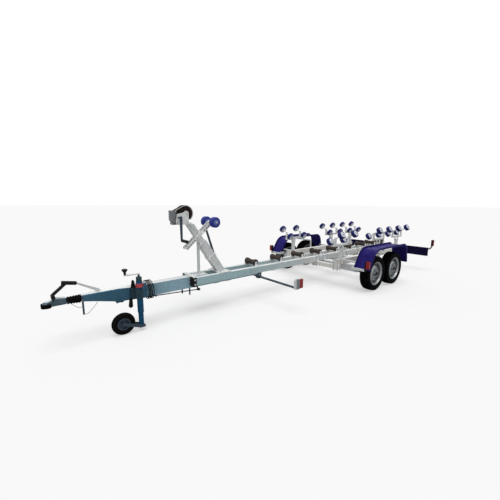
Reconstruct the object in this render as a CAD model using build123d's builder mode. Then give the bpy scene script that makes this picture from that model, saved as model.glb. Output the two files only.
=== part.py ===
# Braked tandem boat trailer with a roller bed, parked on its jockey wheel.
# Frame: +X forward to the coupling, +Y the left side, +Z up, z = 0 the ground.
# Stations are distances in millimetres behind the tip of the coupling.
from build123d import *
from math import cos, degrees, hypot, radians, sin, atan2
import os

os.makedirs("parts", exist_ok=True)

# Overall
overall_length = 6060.0
nose_x = overall_length / 2
seat_gap = 0.3  # clearance left where one piece rests against another
pin_gap = 0.06  # radial clearance of a pin in its bore

# Chassis
rail_top = 450.0
rail_inner = 78.0
rail_outer = 139.5
rail_wall = 4.0
rail_front = 1441.3
rail_step = 2345.0
rail_rear = 5950.0
rail_front_bottom = 347.0
rail_rear_bottom = 364.0
drawbar_half_width = 55.0
drawbar_bottom = 318.5
drawbar_wall = 5.0
drawbar_front = 724.3
drawbar_rear = 1640.0
drawbar_mid_z = (rail_top + drawbar_bottom) / 2
side_beam_y = 500.0
side_beam_width = 60.0
side_beam_front = 3620.0
side_beam_rear = 5660.0
cross_member_height = 60.0
cross_member_length = 60.0
cross_member_reach = 545.0

# Running gear
wheel_stations = {"front": 4000.0, "rear": 4576.0}
tyre_radius = 262.5
tyre_width = 145.0
tyre_outer_y = 965.0
rim_radius = 176.0
axle_lead = 160.0  # the torsion beam lies this far ahead of the wheel
beam_size = 90.0
beam_reach = 752.0
arm_thickness = 26.0
spindle_radius = 17.5
drum_radius = 112.0

# Fenders
fender_inner_y = 760.0
fender_outer_y = 1000.0
fender_top = 625.0
fender_skin = 4.0
fender_lip = 30.0
fender_front_corner = 200.0
fender_rear_corner = 120.0
fender_front_foot = (3712.0, 350.0)
fender_front_shoulder = 3885.0
fender_rear_shoulder = 4852.0
fender_rear_foot = (4908.0, 330.0)

# Coupling and overrun brake
ball_station = 45.0
ball_radius = 25.2
socket_bottom = 387.0
socket_depth = 18.0
head_dome = 36.0
bellows_front = (188.0, 416.0)
bellows_rear = (306.7, 414.0)
bellows_ribs = 5

# Jockey wheel
jack_station = 806.0
jack_y = 115.0
jack_tube_radius = 30.0
jack_leg_radius = 25.0
jack_tube_bottom = 190.0
jack_tube_top = 524.0
jack_leg_bottom = 60.0
jack_leg_top = 350.0
jack_wheel_radius = 111.0
jack_wheel_station = 633.0
jack_wheel_width = 56.0
jack_axle_radius = 8.0

# Winch post
post_foot = 1845.0
post_top = 1438.0
post_top_z = 1059.0
post_size = 70.0
post_sleeve = 94.0
post_sleeve_length = 470.0
post_collar = 106.0
post_collar_from = 222.0
post_collar_length = 44.0
bow_roller_station = 1718.0
bow_roller_z = 1072.0
bow_roller_radius = 62.5
bow_axle_radius = 10.0
drum_station = 1385.0
drum_z = 1181.0
crank_station = 1278.0
crank_z = 1140.0
crank_length = 247.0
gear_radius = 92.0
pinion_radius = 22.0
strap_roll_radius = 79.0

# Roller bed
keel_stations = (2360.0, 2840.0, 3300.0, 3760.0, 4220.0, 4700.0, 5180.0, 5540.0, 5910.0)
keel_roller_z = 500.0
keel_roller_radius = 44.0
keel_roller_waist = 33.0
keel_roller_half = 98.0
keel_pin_radius = 9.0
bogie_stations = {"front": 3750.0, "middle": 4890.0, "rear": 5600.0}
bogie_pivot_z = 670.0
bogie_pin_radius = 10.0
bogie_half_length = 175.0
hull_roller_radius = 60.0
hull_roller_width = 60.0
hull_outer = (600.0, 835.0)  # y and z of the outer hull roller
hull_inner = (410.0, 720.0)  # y and z of the inner hull roller

# Lamps and light board
board_station = 5990.0
board_half_width = 940.0
board_bottom = 295.0
board_top = 457.0
marker_station = 2397.0
marker_y = 800.0
marker_z = 307.0
marker_arm_radius = 14.0


def at(station):
    return nose_x - station


def block(s0, s1, y0, y1, z0, z1, mode=Mode.ADD):
    with Locations(((at(s0) + at(s1)) / 2, (y0 + y1) / 2, (z0 + z1) / 2)):
        Box(s1 - s0, y1 - y0, z1 - z0, mode=mode)


def rod_y(station, z, radius, y0, y1, mode=Mode.ADD):
    with Locations(Location((at(station), (y0 + y1) / 2, z), (90, 0, 0))):
        Cylinder(radius, y1 - y0, mode=mode)


def rod_x(s0, s1, y, z, radius, mode=Mode.ADD):
    with Locations(Location(((at(s0) + at(s1)) / 2, y, z), (0, 90, 0))):
        Cylinder(radius, s1 - s0, mode=mode)


def side_plane(y):
    return Plane.XZ.offset(-y)


def side_plate(points, y0, y1, mode=Mode.ADD):
    with BuildSketch(side_plane((y0 + y1) / 2)) as plate:
        with BuildLine():
            Polyline([(at(s), z) for s, z in points], close=True)
        make_face()
    extrude(plate.sketch, amount=(y1 - y0) / 2, both=True, mode=mode)


def link_plate(ends, y0, y1, mode=Mode.ADD):
    with BuildSketch(side_plane((y0 + y1) / 2)) as plate:
        for station, z, radius in ends:
            with Locations((at(station), z)):
                Circle(radius)
        make_hull()
    extrude(plate.sketch, amount=(y1 - y0) / 2, both=True, mode=mode)


# Coupling head: a domed ball cup that runs back into a round neck
with BuildPart() as coupling_head:
    # columns: station, half width, bottom, top
    head_sections = (
        (ball_station, 33.0, socket_bottom + 1.0, 436.0),
        (114.0, 31.0, 389.0, 461.0),
        (bellows_front[0] - seat_gap, 26.0, 388.0, 451.0),
    )
    for station, half_width, low, high in head_sections:
        with BuildSketch(Plane.YZ.offset(at(station))):
            with Locations((0, (low + high) / 2)):
                RectangleRounded(2 * half_width, high - low, 14)
    loft(ruled=True)
    with Locations((at(ball_station), 0, socket_bottom + socket_depth / 2)):
        Cylinder(head_dome, socket_depth)
    with Locations((at(ball_station), 0, socket_bottom + socket_depth)):
        Sphere(head_dome)
    with Locations((at(ball_station), 0, socket_bottom + socket_depth / 2 - 5)):
        Cylinder(ball_radius, socket_depth + 10, mode=Mode.SUBTRACT)
    with Locations((at(ball_station), 0, socket_bottom + socket_depth)):
        Sphere(ball_radius, mode=Mode.SUBTRACT)
    split(bisect_by=Plane.XY.offset(socket_bottom), keep=Keep.TOP)
coupling_head.part.label = "coupling_head"
export_step(coupling_head.part, "parts/coupling_head.step")

# Rubber dock round the front of the cup, with short cheeks along its sides
nose_cap_rear = 66.0
with BuildPart() as nose_cap:
    with BuildSketch(Plane.XY.offset(socket_bottom - 3)):
        with Locations((at(ball_station), 0)):
            Circle(ball_station)
        with Locations((at((ball_station + nose_cap_rear) / 2), 0)):
            Rectangle(nose_cap_rear - ball_station, 2 * 42)
        with Locations((at(ball_station), 0)):
            Circle(head_dome + seat_gap, mode=Mode.SUBTRACT)
        with Locations((at(ball_station + 20), 0)):
            Rectangle(60, 2 * (33 + seat_gap), mode=Mode.SUBTRACT)
    extrude(amount=36)
    fillet(nose_cap.faces().sort_by(Axis.Z)[-1].edges().filter_by(GeomType.CIRCLE).sort_by(SortBy.RADIUS)[-1:], 4)
nose_cap.part.label = "nose_cap"
export_step(nose_cap.part, "parts/nose_cap.step")

# Coupling handle: two ears astride the neck, and a bent arm up to the handbrake's grip
grip_rear = (282.0, 566.0)
grip_front = (167.0, 588.0)
grip_radius = 18.0
grip_length = hypot(grip_rear[0] - grip_front[0], grip_rear[1] - grip_front[1])
grip_slope = (grip_front[1] - grip_rear[1]) / (grip_rear[0] - grip_front[0])
grip_axis = (grip_front[0] - grip_rear[0], 0, grip_rear[1] - grip_front[1])
with BuildPart() as coupling_handle:
    for side in (-1, 1):
        ear = sorted((side * (32 + seat_gap), side * 38))
        link_plate(((104, 436, 10), (94, 474, 16)), *ear)
    rod_y(94, 476, 16, -38, 38)
    with BuildSketch(side_plane(0)):
        with BuildLine():
            arm = FilletPolyline((at(90), 478), (at(100), 495), (at(200), 580), radius=20)
        trace(arm, 23)
    extrude(amount=14, both=True)
    with BuildSketch(Plane(origin=(at(grip_front[0] - 9), 0, grip_front[1] + 9 * grip_slope), z_dir=grip_axis)):
        Circle(grip_radius + seat_gap)
    extrude(amount=grip_length + 20, mode=Mode.SUBTRACT)
coupling_handle.part.label = "coupling_handle"
export_step(coupling_handle.part, "parts/coupling_handle.step")

# Handbrake lever: a tapered blade on a fork over the overrun housing
lever_root = (452.0, 470.0)
lever_tip = (270.0, 572.0)
with BuildPart() as handbrake_lever:
    link_plate(((lever_root[0], lever_root[1], 14), (lever_tip[0], lever_tip[1], 7)), -5, 5)
    rod_y(lever_root[0], lever_root[1], 7, -16, 16)
    for side in (-1, 1):
        ear = sorted((side * 7, side * 12))
        link_plate(((lever_root[0], lever_root[1], 15), (472, 459, 6), (434, 457.5, 4)), *ear)
    split(bisect_by=Plane.XY.offset(455.8), keep=Keep.TOP)
handbrake_lever.part.label = "handbrake_lever"
export_step(handbrake_lever.part, "parts/handbrake_lever.step")

# Black hand grips: on the handbrake, on the jockey wheel's crank and on its clamp
crank_knob_station = 677.0
clamp_plate_top = 452.0
with BuildPart() as hand_grips:
    with BuildSketch(Plane(origin=(at(grip_front[0]), 0, grip_front[1]), z_dir=grip_axis)):
        Circle(grip_radius)
    extrude(amount=grip_length)
    link_plate(((lever_root[0], lever_root[1], 14.5), (lever_tip[0], lever_tip[1], 8)), -5.3, 5.3, Mode.SUBTRACT)
    with BuildSketch(side_plane(jack_y)) as knob_profile:
        with BuildLine():
            Polyline(
                (at(crank_knob_station), 602.3),
                (at(crank_knob_station - 10), 602.3),
                (at(crank_knob_station - 13), 630),
                (at(crank_knob_station - 28), 648),
                (at(crank_knob_station - 24), 660),
                (at(crank_knob_station), 662),
                close=True,
            )
        make_face()
    revolve(axis=Axis((at(crank_knob_station), jack_y, 0), (0, 0, 1)))
    link_plate(((730, 328, 14), (725, 262, 20)), 62, 78)
    clamp_bottom = clamp_plate_top + seat_gap
    side_plate(((735, clamp_bottom), (779, clamp_bottom), (769, 520), (757, 532), (747, 520)), 66, 84)
hand_grips.part.label = "hand_grips"
export_step(hand_grips.part, "parts/hand_grips.step")

# Bellows over the draw shaft, turned about its own slightly falling axis
bellows_fall = bellows_front[1] - bellows_rear[1]
bellows_run = bellows_rear[0] - bellows_front[0]
bellows_length = hypot(bellows_run, bellows_fall)
bellows_end_radius = {"front": 24.0, "rear": 29.0}
with BuildPart() as bellows:
    with BuildSketch(
        Plane(
            origin=(at(bellows_front[0]), 0, bellows_front[1]),
            x_dir=(-bellows_run, 0, -bellows_fall),
            z_dir=(0, 1, 0),
        )
    ):
        rib_pitch = bellows_length / bellows_ribs
        outline = [(0, 0), (0, bellows_end_radius["front"])]
        for rib in range(bellows_ribs):
            crest = 34.5 + 1.4 * rib
            outline.append(((rib + 0.30) * rib_pitch, crest))
            outline.append(((rib + 0.62) * rib_pitch, crest))
            if rib < bellows_ribs - 1:
                outline.append(((rib + 0.96) * rib_pitch, crest - 8))
        outline.append((bellows_length, bellows_end_radius["rear"]))
        outline.append((bellows_length, 0))
        with BuildLine():
            Polyline(outline, close=True)
        make_face()
    revolve(
        axis=Axis(
            (at(bellows_front[0]), 0, bellows_front[1]), (-bellows_run, 0, -bellows_fall)
        )
    )
    block(150, bellows_front[0], -60, 60, 380, 490, Mode.SUBTRACT)
    block(bellows_rear[0], 350, -60, 60, 360, 490, Mode.SUBTRACT)
bellows.part.label = "bellows"
export_step(bellows.part, "parts/bellows.step")

# Overrun housing: a tapered casting that meets the drawbar, with its lower flange
with BuildPart() as overrun_housing:
    # columns: station, width, bottom, top
    housing_sections = (
        (bellows_rear[0] + seat_gap, 68.0, 388.0, 450.0),
        (430.0, 84.0, 366.0, 454.0),
        (630.0, 114.0, 322.0, 459.0),
        (drawbar_front - seat_gap, 120.0, 320.0, 452.0),
    )
    for station, width, low, high in housing_sections:
        with BuildSketch(Plane.YZ.offset(at(station))):
            with Locations((0, (low + high) / 2)):
                RectangleRounded(width, high - low, 12)
    loft(ruled=True)
    block(604, 672, -30, 30, 306, 330)
    for bolt_station in (616, 660):
        with Locations((at(bolt_station), 0, 302)):
            Cylinder(9, 14)
    block(306, 322, 30, 38, 262, 402)
overrun_housing.part.label = "overrun_housing"
export_step(overrun_housing.part, "parts/overrun_housing.step")

# Breakaway cable: from the cup to the guide bar, and from the bar to the brake
cable_radius = 2.0
with BuildPart() as breakaway_cable:
    with BuildLine() as front_run:
        FilletPolyline((at(186), 36, 420), (at(224), 40, 392), (at(273), 42, 335), (at(307), 40.3, 342), radius=(18, 14))
    with BuildSketch(Plane(origin=front_run.line @ 0, z_dir=front_run.line % 0)):
        Circle(cable_radius)
    sweep(path=front_run.line)
    with BuildLine() as rear_run:
        FilletPolyline((at(323.4), 34, 266), (at(345), 34, 252), (at(430), 34, 350), (at(437), 30, 361), radius=(9, 20))
    with BuildSketch(Plane(origin=rear_run.line @ 0, z_dir=rear_run.line % 0)):
        Circle(cable_radius)
    sweep(path=rear_run.line)
breakaway_cable.part.label = "breakaway_cable"
export_step(breakaway_cable.part, "parts/breakaway_cable.step")

# Jockey wheel: outer tube, its clamp, collar and crank stay with the drawbar
leg_bore = jack_leg_radius + 0.3
with BuildPart() as jockey_tube:
    with Locations((at(jack_station), jack_y, (jack_tube_bottom + jack_tube_top) / 2)):
        Cylinder(jack_tube_radius, jack_tube_top - jack_tube_bottom)
    with Locations((at(jack_station), jack_y, jack_tube_bottom + 150)):
        Cylinder(leg_bore, 300, mode=Mode.SUBTRACT)
    fillet(jockey_tube.edges().group_by(Axis.Z)[0].sort_by(SortBy.RADIUS)[-1], 2)
jockey_tube.part.label = "jockey_tube"
export_step(jockey_tube.part, "parts/jockey_tube.step")

with BuildPart() as jockey_collar:
    with Locations((at(jack_station), jack_y, 476)):
        Cylinder(jack_tube_radius + 6, 40)
        Cylinder(jack_tube_radius + seat_gap, 40, mode=Mode.SUBTRACT)
    fillet(jockey_collar.edges().filter_by(GeomType.CIRCLE).group_by(SortBy.RADIUS)[-1], 4)
jockey_collar.part.label = "jockey_collar"
export_step(jockey_collar.part, "parts/jockey_collar.step")

with BuildPart() as jockey_crank:
    with Locations((at(jack_station), jack_y, jack_tube_top + seat_gap + 20.35)):
        Cylinder(28, 40.7)
    fillet(jockey_crank.edges().group_by(Axis.Z)[-1], 7)
    with Locations((at(jack_station), jack_y, 580)):
        Cylinder(10, 42)
    with BuildSketch(Plane.XY.offset(590)):
        for station, radius in ((jack_station, 14), (crank_knob_station, 11)):
            with Locations((at(station), jack_y)):
                Circle(radius)
        make_hull()
    extrude(amount=12)
jockey_crank.part.label = "jockey_crank"
export_step(jockey_crank.part, "parts/jockey_crank.step")

clamp_reach = jack_tube_radius + 13
with BuildPart() as jockey_clamp:
    with Locations((at(jack_station), jack_y, 396)):
        Cylinder(clamp_reach, 92)
    block(jack_station - 38, jack_station + 38, drawbar_half_width + seat_gap, jack_y, 350, 442)
    block(836, 891, drawbar_half_width + seat_gap, 70, 326, 474)
    block(734, 790, drawbar_half_width + seat_gap, 90, 344, clamp_plate_top)
    rod_y(730, 340, 9, 60.3, 62 - seat_gap)
    with Locations((at(jack_station), jack_y, 396)):
        Cylinder(jack_tube_radius + seat_gap, 120, mode=Mode.SUBTRACT)
jockey_clamp.part.label = "jockey_clamp"
export_step(jockey_clamp.part, "parts/jockey_clamp.step")

# The leg slides, the fork swivels on it, and the wheel turns in the fork
swivel_radius = 12.0
with BuildPart() as jockey_leg:
    with Locations((at(jack_station), jack_y, (jack_leg_bottom + jack_leg_top) / 2)):
        Cylinder(jack_leg_radius, jack_leg_top - jack_leg_bottom)
    with Locations((at(jack_station), jack_y, jack_leg_bottom + 15)):
        Cylinder(swivel_radius + pin_gap, 30, mode=Mode.SUBTRACT)
jockey_leg.part.label = "jockey_leg"
export_step(jockey_leg.part, "parts/jockey_leg.step")

fork_gap = 4.0
fork_inner = jack_wheel_width / 2 + fork_gap
fork_outer = fork_inner + 5
with BuildPart() as jockey_fork:
    for side in (-1, 1):
        cheek = sorted((jack_y + side * fork_inner, jack_y + side * fork_outer))
        link_plate(((jack_wheel_station, jack_wheel_radius, 17), (824, 49, 11), (792, 49, 11)), *cheek)
    block(776, 836, jack_y - fork_outer, jack_y + fork_outer, 38, jack_leg_bottom - seat_gap)
    with Locations((at(jack_station), jack_y, jack_leg_bottom + 12)):
        Cylinder(swivel_radius, 26)
    rod_y(jack_wheel_station, jack_wheel_radius, jack_axle_radius, jack_y - fork_outer - 3, jack_y + fork_outer + 3)
jockey_fork.part.label = "jockey_fork"
export_step(jockey_fork.part, "parts/jockey_fork.step")

jack_rim_radius = 62.0
with BuildPart() as jockey_tyre:
    with BuildSketch(side_plane(jack_y)):
        with Locations((at(jack_wheel_station), jack_wheel_radius)):
            Circle(jack_wheel_radius)
            Circle(jack_rim_radius + seat_gap, mode=Mode.SUBTRACT)
    extrude(amount=jack_wheel_width / 2, both=True)
    fillet(jockey_tyre.edges().filter_by(GeomType.CIRCLE).group_by(SortBy.RADIUS)[-1], 16)
jockey_tyre.part.label = "jockey_tyre"
export_step(jockey_tyre.part, "parts/jockey_tyre.step")

with BuildPart() as jockey_rim:
    with BuildSketch(side_plane(jack_y)):
        with Locations((at(jack_wheel_station), jack_wheel_radius)):
            Circle(jack_rim_radius)
            Circle(jack_rim_radius - 14, mode=Mode.SUBTRACT)
    extrude(amount=22, both=True)
    with BuildSketch(side_plane(jack_y)):
        with Locations((at(jack_wheel_station), jack_wheel_radius)):
            Circle(jack_rim_radius - 8)
    extrude(amount=5, both=True)
    rod_y(jack_wheel_station, jack_wheel_radius, 18, jack_y - 30, jack_y + 30)
    rod_y(jack_wheel_station, jack_wheel_radius, jack_axle_radius + pin_gap, jack_y - 40, jack_y + 40, Mode.SUBTRACT)
jockey_rim.part.label = "jockey_rim"
export_step(jockey_rim.part, "parts/jockey_rim.step")

# Drawbar: a box tube with the wiring gland and the plug's parking tab on its far side
coil_front = 893.0
coil_rear = 975.0
coil_z = 381.0
coil_inner = 94.0
coil_outer = 103.5
plug_y = -92.0
plug_z = 345.0
gland_station = 958.0
gland_reach = 62.0
lead_radius = 4.5
with BuildPart() as drawbar_tube:
    block(drawbar_front, drawbar_rear, -drawbar_half_width, drawbar_half_width, drawbar_bottom, rail_top)
    block(
        drawbar_front - 1,
        drawbar_rear + 1,
        drawbar_wall - drawbar_half_width,
        drawbar_half_width - drawbar_wall,
        drawbar_bottom + drawbar_wall,
        rail_top - drawbar_wall,
        Mode.SUBTRACT,
    )
    block(780, 826, plug_y + 21 + seat_gap, -drawbar_half_width, 330, 362)
    rod_y(gland_station, coil_z, 9, -gland_reach, -drawbar_half_width)
drawbar_tube.part.label = "drawbar_tube"
export_step(drawbar_tube.part, "parts/drawbar_tube.step")

# Wiring lead stored in round turns about the drawbar, with its plug beside it
with BuildPart() as cable_coil:
    with BuildSketch(Plane.YZ.offset(at(coil_rear))):
        with Locations((0, coil_z)):
            Circle(coil_outer)
            Circle(coil_inner, mode=Mode.SUBTRACT)
    extrude(amount=coil_rear - coil_front)
    rod_y(gland_station, coil_z, lead_radius, -coil_inner - 1, -gland_reach - seat_gap)
cable_coil.part.label = "cable_coil"
export_step(cable_coil.part, "parts/cable_coil.step")

with BuildPart() as trailer_plug:
    rod_x(770, 822, plug_y, plug_z, 21)
    rod_x(822, 838, plug_y, plug_z, 12)
    rod_x(838, coil_front - seat_gap, plug_y, plug_z, lead_radius)
    block(776, 818, plug_y - 4, plug_y + 4, plug_z + 18, plug_z + 26)
trailer_plug.part.label = "trailer_plug"
export_step(trailer_plug.part, "parts/trailer_plug.step")

# Brake rod under the drawbar, with the hangers that guide it
rod_radius = 6.0
rod_front = (drawbar_front, 309.0)
rod_rear = (1540.0, 262.0)
rod_slope = atan2(rod_front[1] - rod_rear[1], rod_rear[0] - rod_front[0])


def rod_height(station):
    share = (station - rod_front[0]) / (rod_rear[0] - rod_front[0])
    return rod_front[1] + share * (rod_rear[1] - rod_front[1])


with BuildPart() as brake_rod:
    rod_run = Plane(
        origin=(at(rod_front[0]), 0, rod_front[1]), x_dir=(0, 1, 0), z_dir=(-cos(rod_slope), 0, -sin(rod_slope))
    )
    with BuildSketch(rod_run):
        Circle(rod_radius)
    extrude(amount=hypot(rod_rear[0] - rod_front[0], rod_rear[1] - rod_front[1]))
    with Locations((at(rod_rear[0]), 0, rod_rear[1])):
        Sphere(17)
    # columns: station, how far the hanger reaches below the rod
    for station, drop in ((1010, 12), (1321, 22), (1416, 52), (1520, 12)):
        low = rod_height(station) - drop
        block(station - 3, station + 3, -14, 14, low, drawbar_bottom - seat_gap)
brake_rod.part.label = "brake_rod"
export_step(brake_rod.part, "parts/brake_rod.step")

# Junction clamp: the black collar where the drawbar enters the twin rails
clamp_front = 1398.0
with BuildPart() as junction_clamp:
    block(clamp_front, rail_front - seat_gap, -rail_outer, rail_outer, 344, 463)
    block(
        clamp_front - 10,
        rail_front + 10,
        -drawbar_half_width - seat_gap,
        drawbar_half_width + seat_gap,
        drawbar_bottom,
        rail_top + seat_gap,
        Mode.SUBTRACT,
    )
    fillet(junction_clamp.edges().filter_by(Axis.X).group_by(Axis.Z)[-1], 10)
    for side in (-1, 1):
        for height in (375, 425):
            rod_x(clamp_front - 26, clamp_front + 2, side * 98, height, 7)
junction_clamp.part.label = "junction_clamp"
export_step(junction_clamp.part, "parts/junction_clamp.step")

# Twin rails: box sections that step down in height behind the front sleeve
with BuildPart() as main_rails:
    for side in (-1, 1):
        outside = sorted((side * rail_inner, side * rail_outer))
        inside = sorted((side * (rail_inner + rail_wall), side * (rail_outer - rail_wall)))
        block(rail_front, rail_step, *outside, rail_front_bottom, rail_top)
        block(rail_step, rail_rear, *outside, rail_rear_bottom, rail_top)
        block(
            rail_front - 1, rail_step, *inside, rail_front_bottom + rail_wall, rail_top - rail_wall, Mode.SUBTRACT
        )
        block(
            rail_step, rail_rear + 1, *inside, rail_rear_bottom + rail_wall, rail_top - rail_wall, Mode.SUBTRACT
        )
        collar = sorted((side * rail_outer, side * (rail_outer + 6)))
        block(2235, rail_step, *collar, rail_front_bottom, rail_top - 4)
main_rails.part.label = "main_rails"
export_step(main_rails.part, "parts/main_rails.step")

# Side frame: cross members and ties under the rails, side beams on the cross members
cross_members = (3650.0, 4890.0, 5600.0)
with BuildPart() as side_frame:
    for station in cross_members:
        block(
            station - cross_member_length / 2,
            station + cross_member_length / 2,
            -cross_member_reach,
            cross_member_reach,
            rail_rear_bottom - cross_member_height,
            rail_rear_bottom,
        )
    for side in (-1, 1):
        beam = sorted((side * (side_beam_y - side_beam_width / 2), side * (side_beam_y + side_beam_width / 2)))
        block(side_beam_front, side_beam_rear, *beam, rail_rear_bottom + seat_gap, rail_top)
    # columns: station, length, underside of the rail there
    for station, length, under in (
        (1710, 70, rail_front_bottom),
        (1880, 70, rail_front_bottom),
        (2660, 80, rail_rear_bottom),
        (3400, 90, rail_rear_bottom),
    ):
        block(station - length / 2, station + length / 2, -rail_outer, rail_outer, under - 8, under)
side_frame.part.label = "side_frame"
export_step(side_frame.part, "parts/side_frame.step")

# Torsion axles: a box beam, trailing arms and stub axles
with BuildPart() as axles:
    for station in wheel_stations.values():
        beam_station = station - axle_lead
        beam_z = rail_rear_bottom - beam_size / 2
        block(
            beam_station - beam_size / 2,
            beam_station + beam_size / 2,
            -beam_reach,
            beam_reach,
            rail_rear_bottom - beam_size,
            rail_rear_bottom,
        )
        for side in (-1, 1):
            arm_y = sorted((side * (beam_reach + seat_gap), side * (beam_reach + arm_thickness)))
            link_plate(((beam_station, beam_z, 46), (station, tyre_radius, 36)), *arm_y)
            stub = sorted((side * (beam_reach + arm_thickness), side * 935.0))
            rod_y(station, tyre_radius, spindle_radius, *stub)
axles.part.label = "axles"
export_step(axles.part, "parts/axles.step")

# Road wheels: tyre and steel rim with its brake drum
rim_holes = 8
for place, station in wheel_stations.items():
    for hand, side in (("left", 1), ("right", -1)):
        axle_line = Axis((at(station), 0, tyre_radius), (0, 1, 0))
        inner_y = tyre_outer_y - tyre_width
        with BuildPart() as tyre:
            with BuildSketch(Plane(origin=(at(station), 0, tyre_radius), x_dir=(0, side, 0), z_dir=(1, 0, 0) if side > 0 else (-1, 0, 0))):
                with BuildLine():
                    Polyline(
                        (inner_y + 10, rim_radius + seat_gap),
                        (inner_y, rim_radius + 26),
                        (inner_y + 6, tyre_radius - 20),
                        (inner_y + 22, tyre_radius),
                        (tyre_outer_y - 22, tyre_radius),
                        (tyre_outer_y - 6, tyre_radius - 20),
                        (tyre_outer_y, rim_radius + 26),
                        (tyre_outer_y - 10, rim_radius + seat_gap),
                        close=True,
                    )
                make_face()
            revolve(axis=axle_line)
        tyre.part.label = f"tyre_{place}_{hand}"
        export_step(tyre.part, f"parts/tyre_{place}_{hand}.step")

        with BuildPart() as rim:
            with BuildSketch(Plane(origin=(at(station), 0, tyre_radius), x_dir=(0, side, 0), z_dir=(1, 0, 0) if side > 0 else (-1, 0, 0))):
                with BuildLine():
                    Polyline(
                        (inner_y + 12, rim_radius),
                        (tyre_outer_y - 12, rim_radius),
                        (tyre_outer_y - 12, rim_radius - 10),
                        (tyre_outer_y - 40, rim_radius - 22),
                        (tyre_outer_y - 52, 118),
                        (tyre_outer_y - 26, 88),
                        (tyre_outer_y - 26, 42),
                        (tyre_outer_y - 8, 36),
                        (tyre_outer_y - 8, 0),
                        (tyre_outer_y - 28, 0),
                        (tyre_outer_y - 28, spindle_radius + pin_gap),
                        (beam_reach + arm_thickness + 6, spindle_radius + pin_gap),
                        (beam_reach + arm_thickness + 6, drum_radius),
                        (tyre_outer_y - 66, drum_radius),
                        (tyre_outer_y - 66, rim_radius - 14),
                        (inner_y + 12, rim_radius - 8),
                        close=True,
                    )
                make_face()
            revolve(axis=axle_line)
            with BuildSketch(side_plane(side * (tyre_outer_y - 20))):
                with Locations((at(station), tyre_radius)):
                    with PolarLocations(134, rim_holes):
                        Circle(13)
            extrude(amount=60 * side, mode=Mode.SUBTRACT)
        rim.part.label = f"rim_{place}_{hand}"
        export_step(rim.part, f"parts/rim_{place}_{hand}.step")

# Fenders: a flat-topped hood over each pair of wheels, with turned-in lips
with BuildPart() as fenders:
    hood = (
        fender_front_foot,
        (fender_front_shoulder, fender_top),
        (fender_rear_shoulder, fender_top),
        fender_rear_foot,
    )
    for side in (-1, 1):
        for low_y, high_y, depth in (
            (fender_inner_y, fender_outer_y, fender_skin),
            (fender_inner_y, fender_inner_y + fender_skin, fender_lip),
            (fender_outer_y - fender_skin, fender_outer_y, fender_lip),
        ):
            span = sorted((side * low_y, side * high_y))
            with BuildSketch(side_plane(sum(span) / 2)):
                with BuildLine():
                    spine = FilletPolyline(
                        [(at(s), z) for s, z in hood], radius=(fender_front_corner, fender_rear_corner)
                    )
                    offset(spine, amount=depth, side=Side.RIGHT)
                make_face()
            extrude(amount=(span[1] - span[0]) / 2, both=True)
fenders.part.label = "fenders"
export_step(fenders.part, "parts/fenders.step")

# Winch post: a leaning box tube in a wider sleeve, on a foot plate across the rails
post_rise = post_top_z - rail_top
post_run = post_foot - post_top
post_lean = atan2(post_rise, post_run)
post_length = hypot(post_rise, post_run)
post_axis = (cos(post_lean), 0, sin(post_lean))
foot_thickness = 10.0


def post_plane(along, shift=0.0):
    x = at(post_foot) + along * cos(post_lean) + shift * sin(post_lean)
    z = rail_top + along * sin(post_lean) - shift * cos(post_lean)
    return Plane(origin=(x, 0, z), x_dir=(0, 1, 0), z_dir=post_axis)


def post_body(clearance=0.0, mode=Mode.ADD):
    # columns: where the section starts along the post's axis, how far it runs, how wide it is
    for start, run, width in (
        (-80.0, post_length + 160.0, post_size),
        (-80.0, 80.0 + post_sleeve_length, post_sleeve),
        (post_collar_from, post_collar_length, post_collar),
    ):
        with BuildSketch(post_plane(start - clearance), mode=Mode.PRIVATE) as section:
            Rectangle(width + 2 * clearance, width + 2 * clearance)
        extrude(section.sketch, amount=run + 2 * clearance, mode=mode)


with BuildPart() as winch_post:
    post_body()
    split(bisect_by=Plane.XY.offset(rail_top), keep=Keep.TOP)
    split(bisect_by=Plane.XY.offset(post_top_z), keep=Keep.BOTTOM)
    block(post_foot - 90, post_foot + 80, -rail_outer, rail_outer, rail_top, rail_top + foot_thickness)
winch_post.part.label = "winch_post"
export_step(winch_post.part, "parts/winch_post.step")

# Bow arm: twin perforated bars across the post, with the roller axle and the stays
arm_low = (1388.0, 786.0)
arm_slope = atan2(bow_roller_z - arm_low[1], bow_roller_station - arm_low[0])
arm_length = hypot(bow_roller_z - arm_low[1], bow_roller_station - arm_low[0])
bar_inner = post_size / 2 + seat_gap
bar_outer = bar_inner + 6
arm_holes = 12
stay_top = (1648.0, 1011.0)
stay_foot = (1757.0, 680.0)
with BuildPart() as bow_arm:
    for side in (-1, 1):
        bar_y = sorted((side * bar_inner, side * bar_outer))
        link_plate(((*arm_low, 19), (bow_roller_station, bow_roller_z, 19)), *bar_y)
    for hole in range(arm_holes):
        along = 22 + hole * (arm_length - 60) / (arm_holes - 1)
        station = arm_low[0] + along * cos(arm_slope)
        height = arm_low[1] + along * sin(arm_slope)
        rod_y(station, height, 7, -bar_outer - 1, bar_outer + 1, Mode.SUBTRACT)
    rod_y(bow_roller_station, bow_roller_z, bow_axle_radius, -140, 140)
    rod_y(*arm_low, 6, -bar_outer - 5, bar_outer + 5)
    rod_y(*stay_top, 6, -bar_outer - 3, bar_outer + 3)
    link_plate(((*stay_top, 10), (*stay_foot, 12)), -8, 8)
    post_body(seat_gap, Mode.SUBTRACT)
bow_arm.part.label = "bow_arm"
export_step(bow_arm.part, "parts/bow_arm.step")

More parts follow.
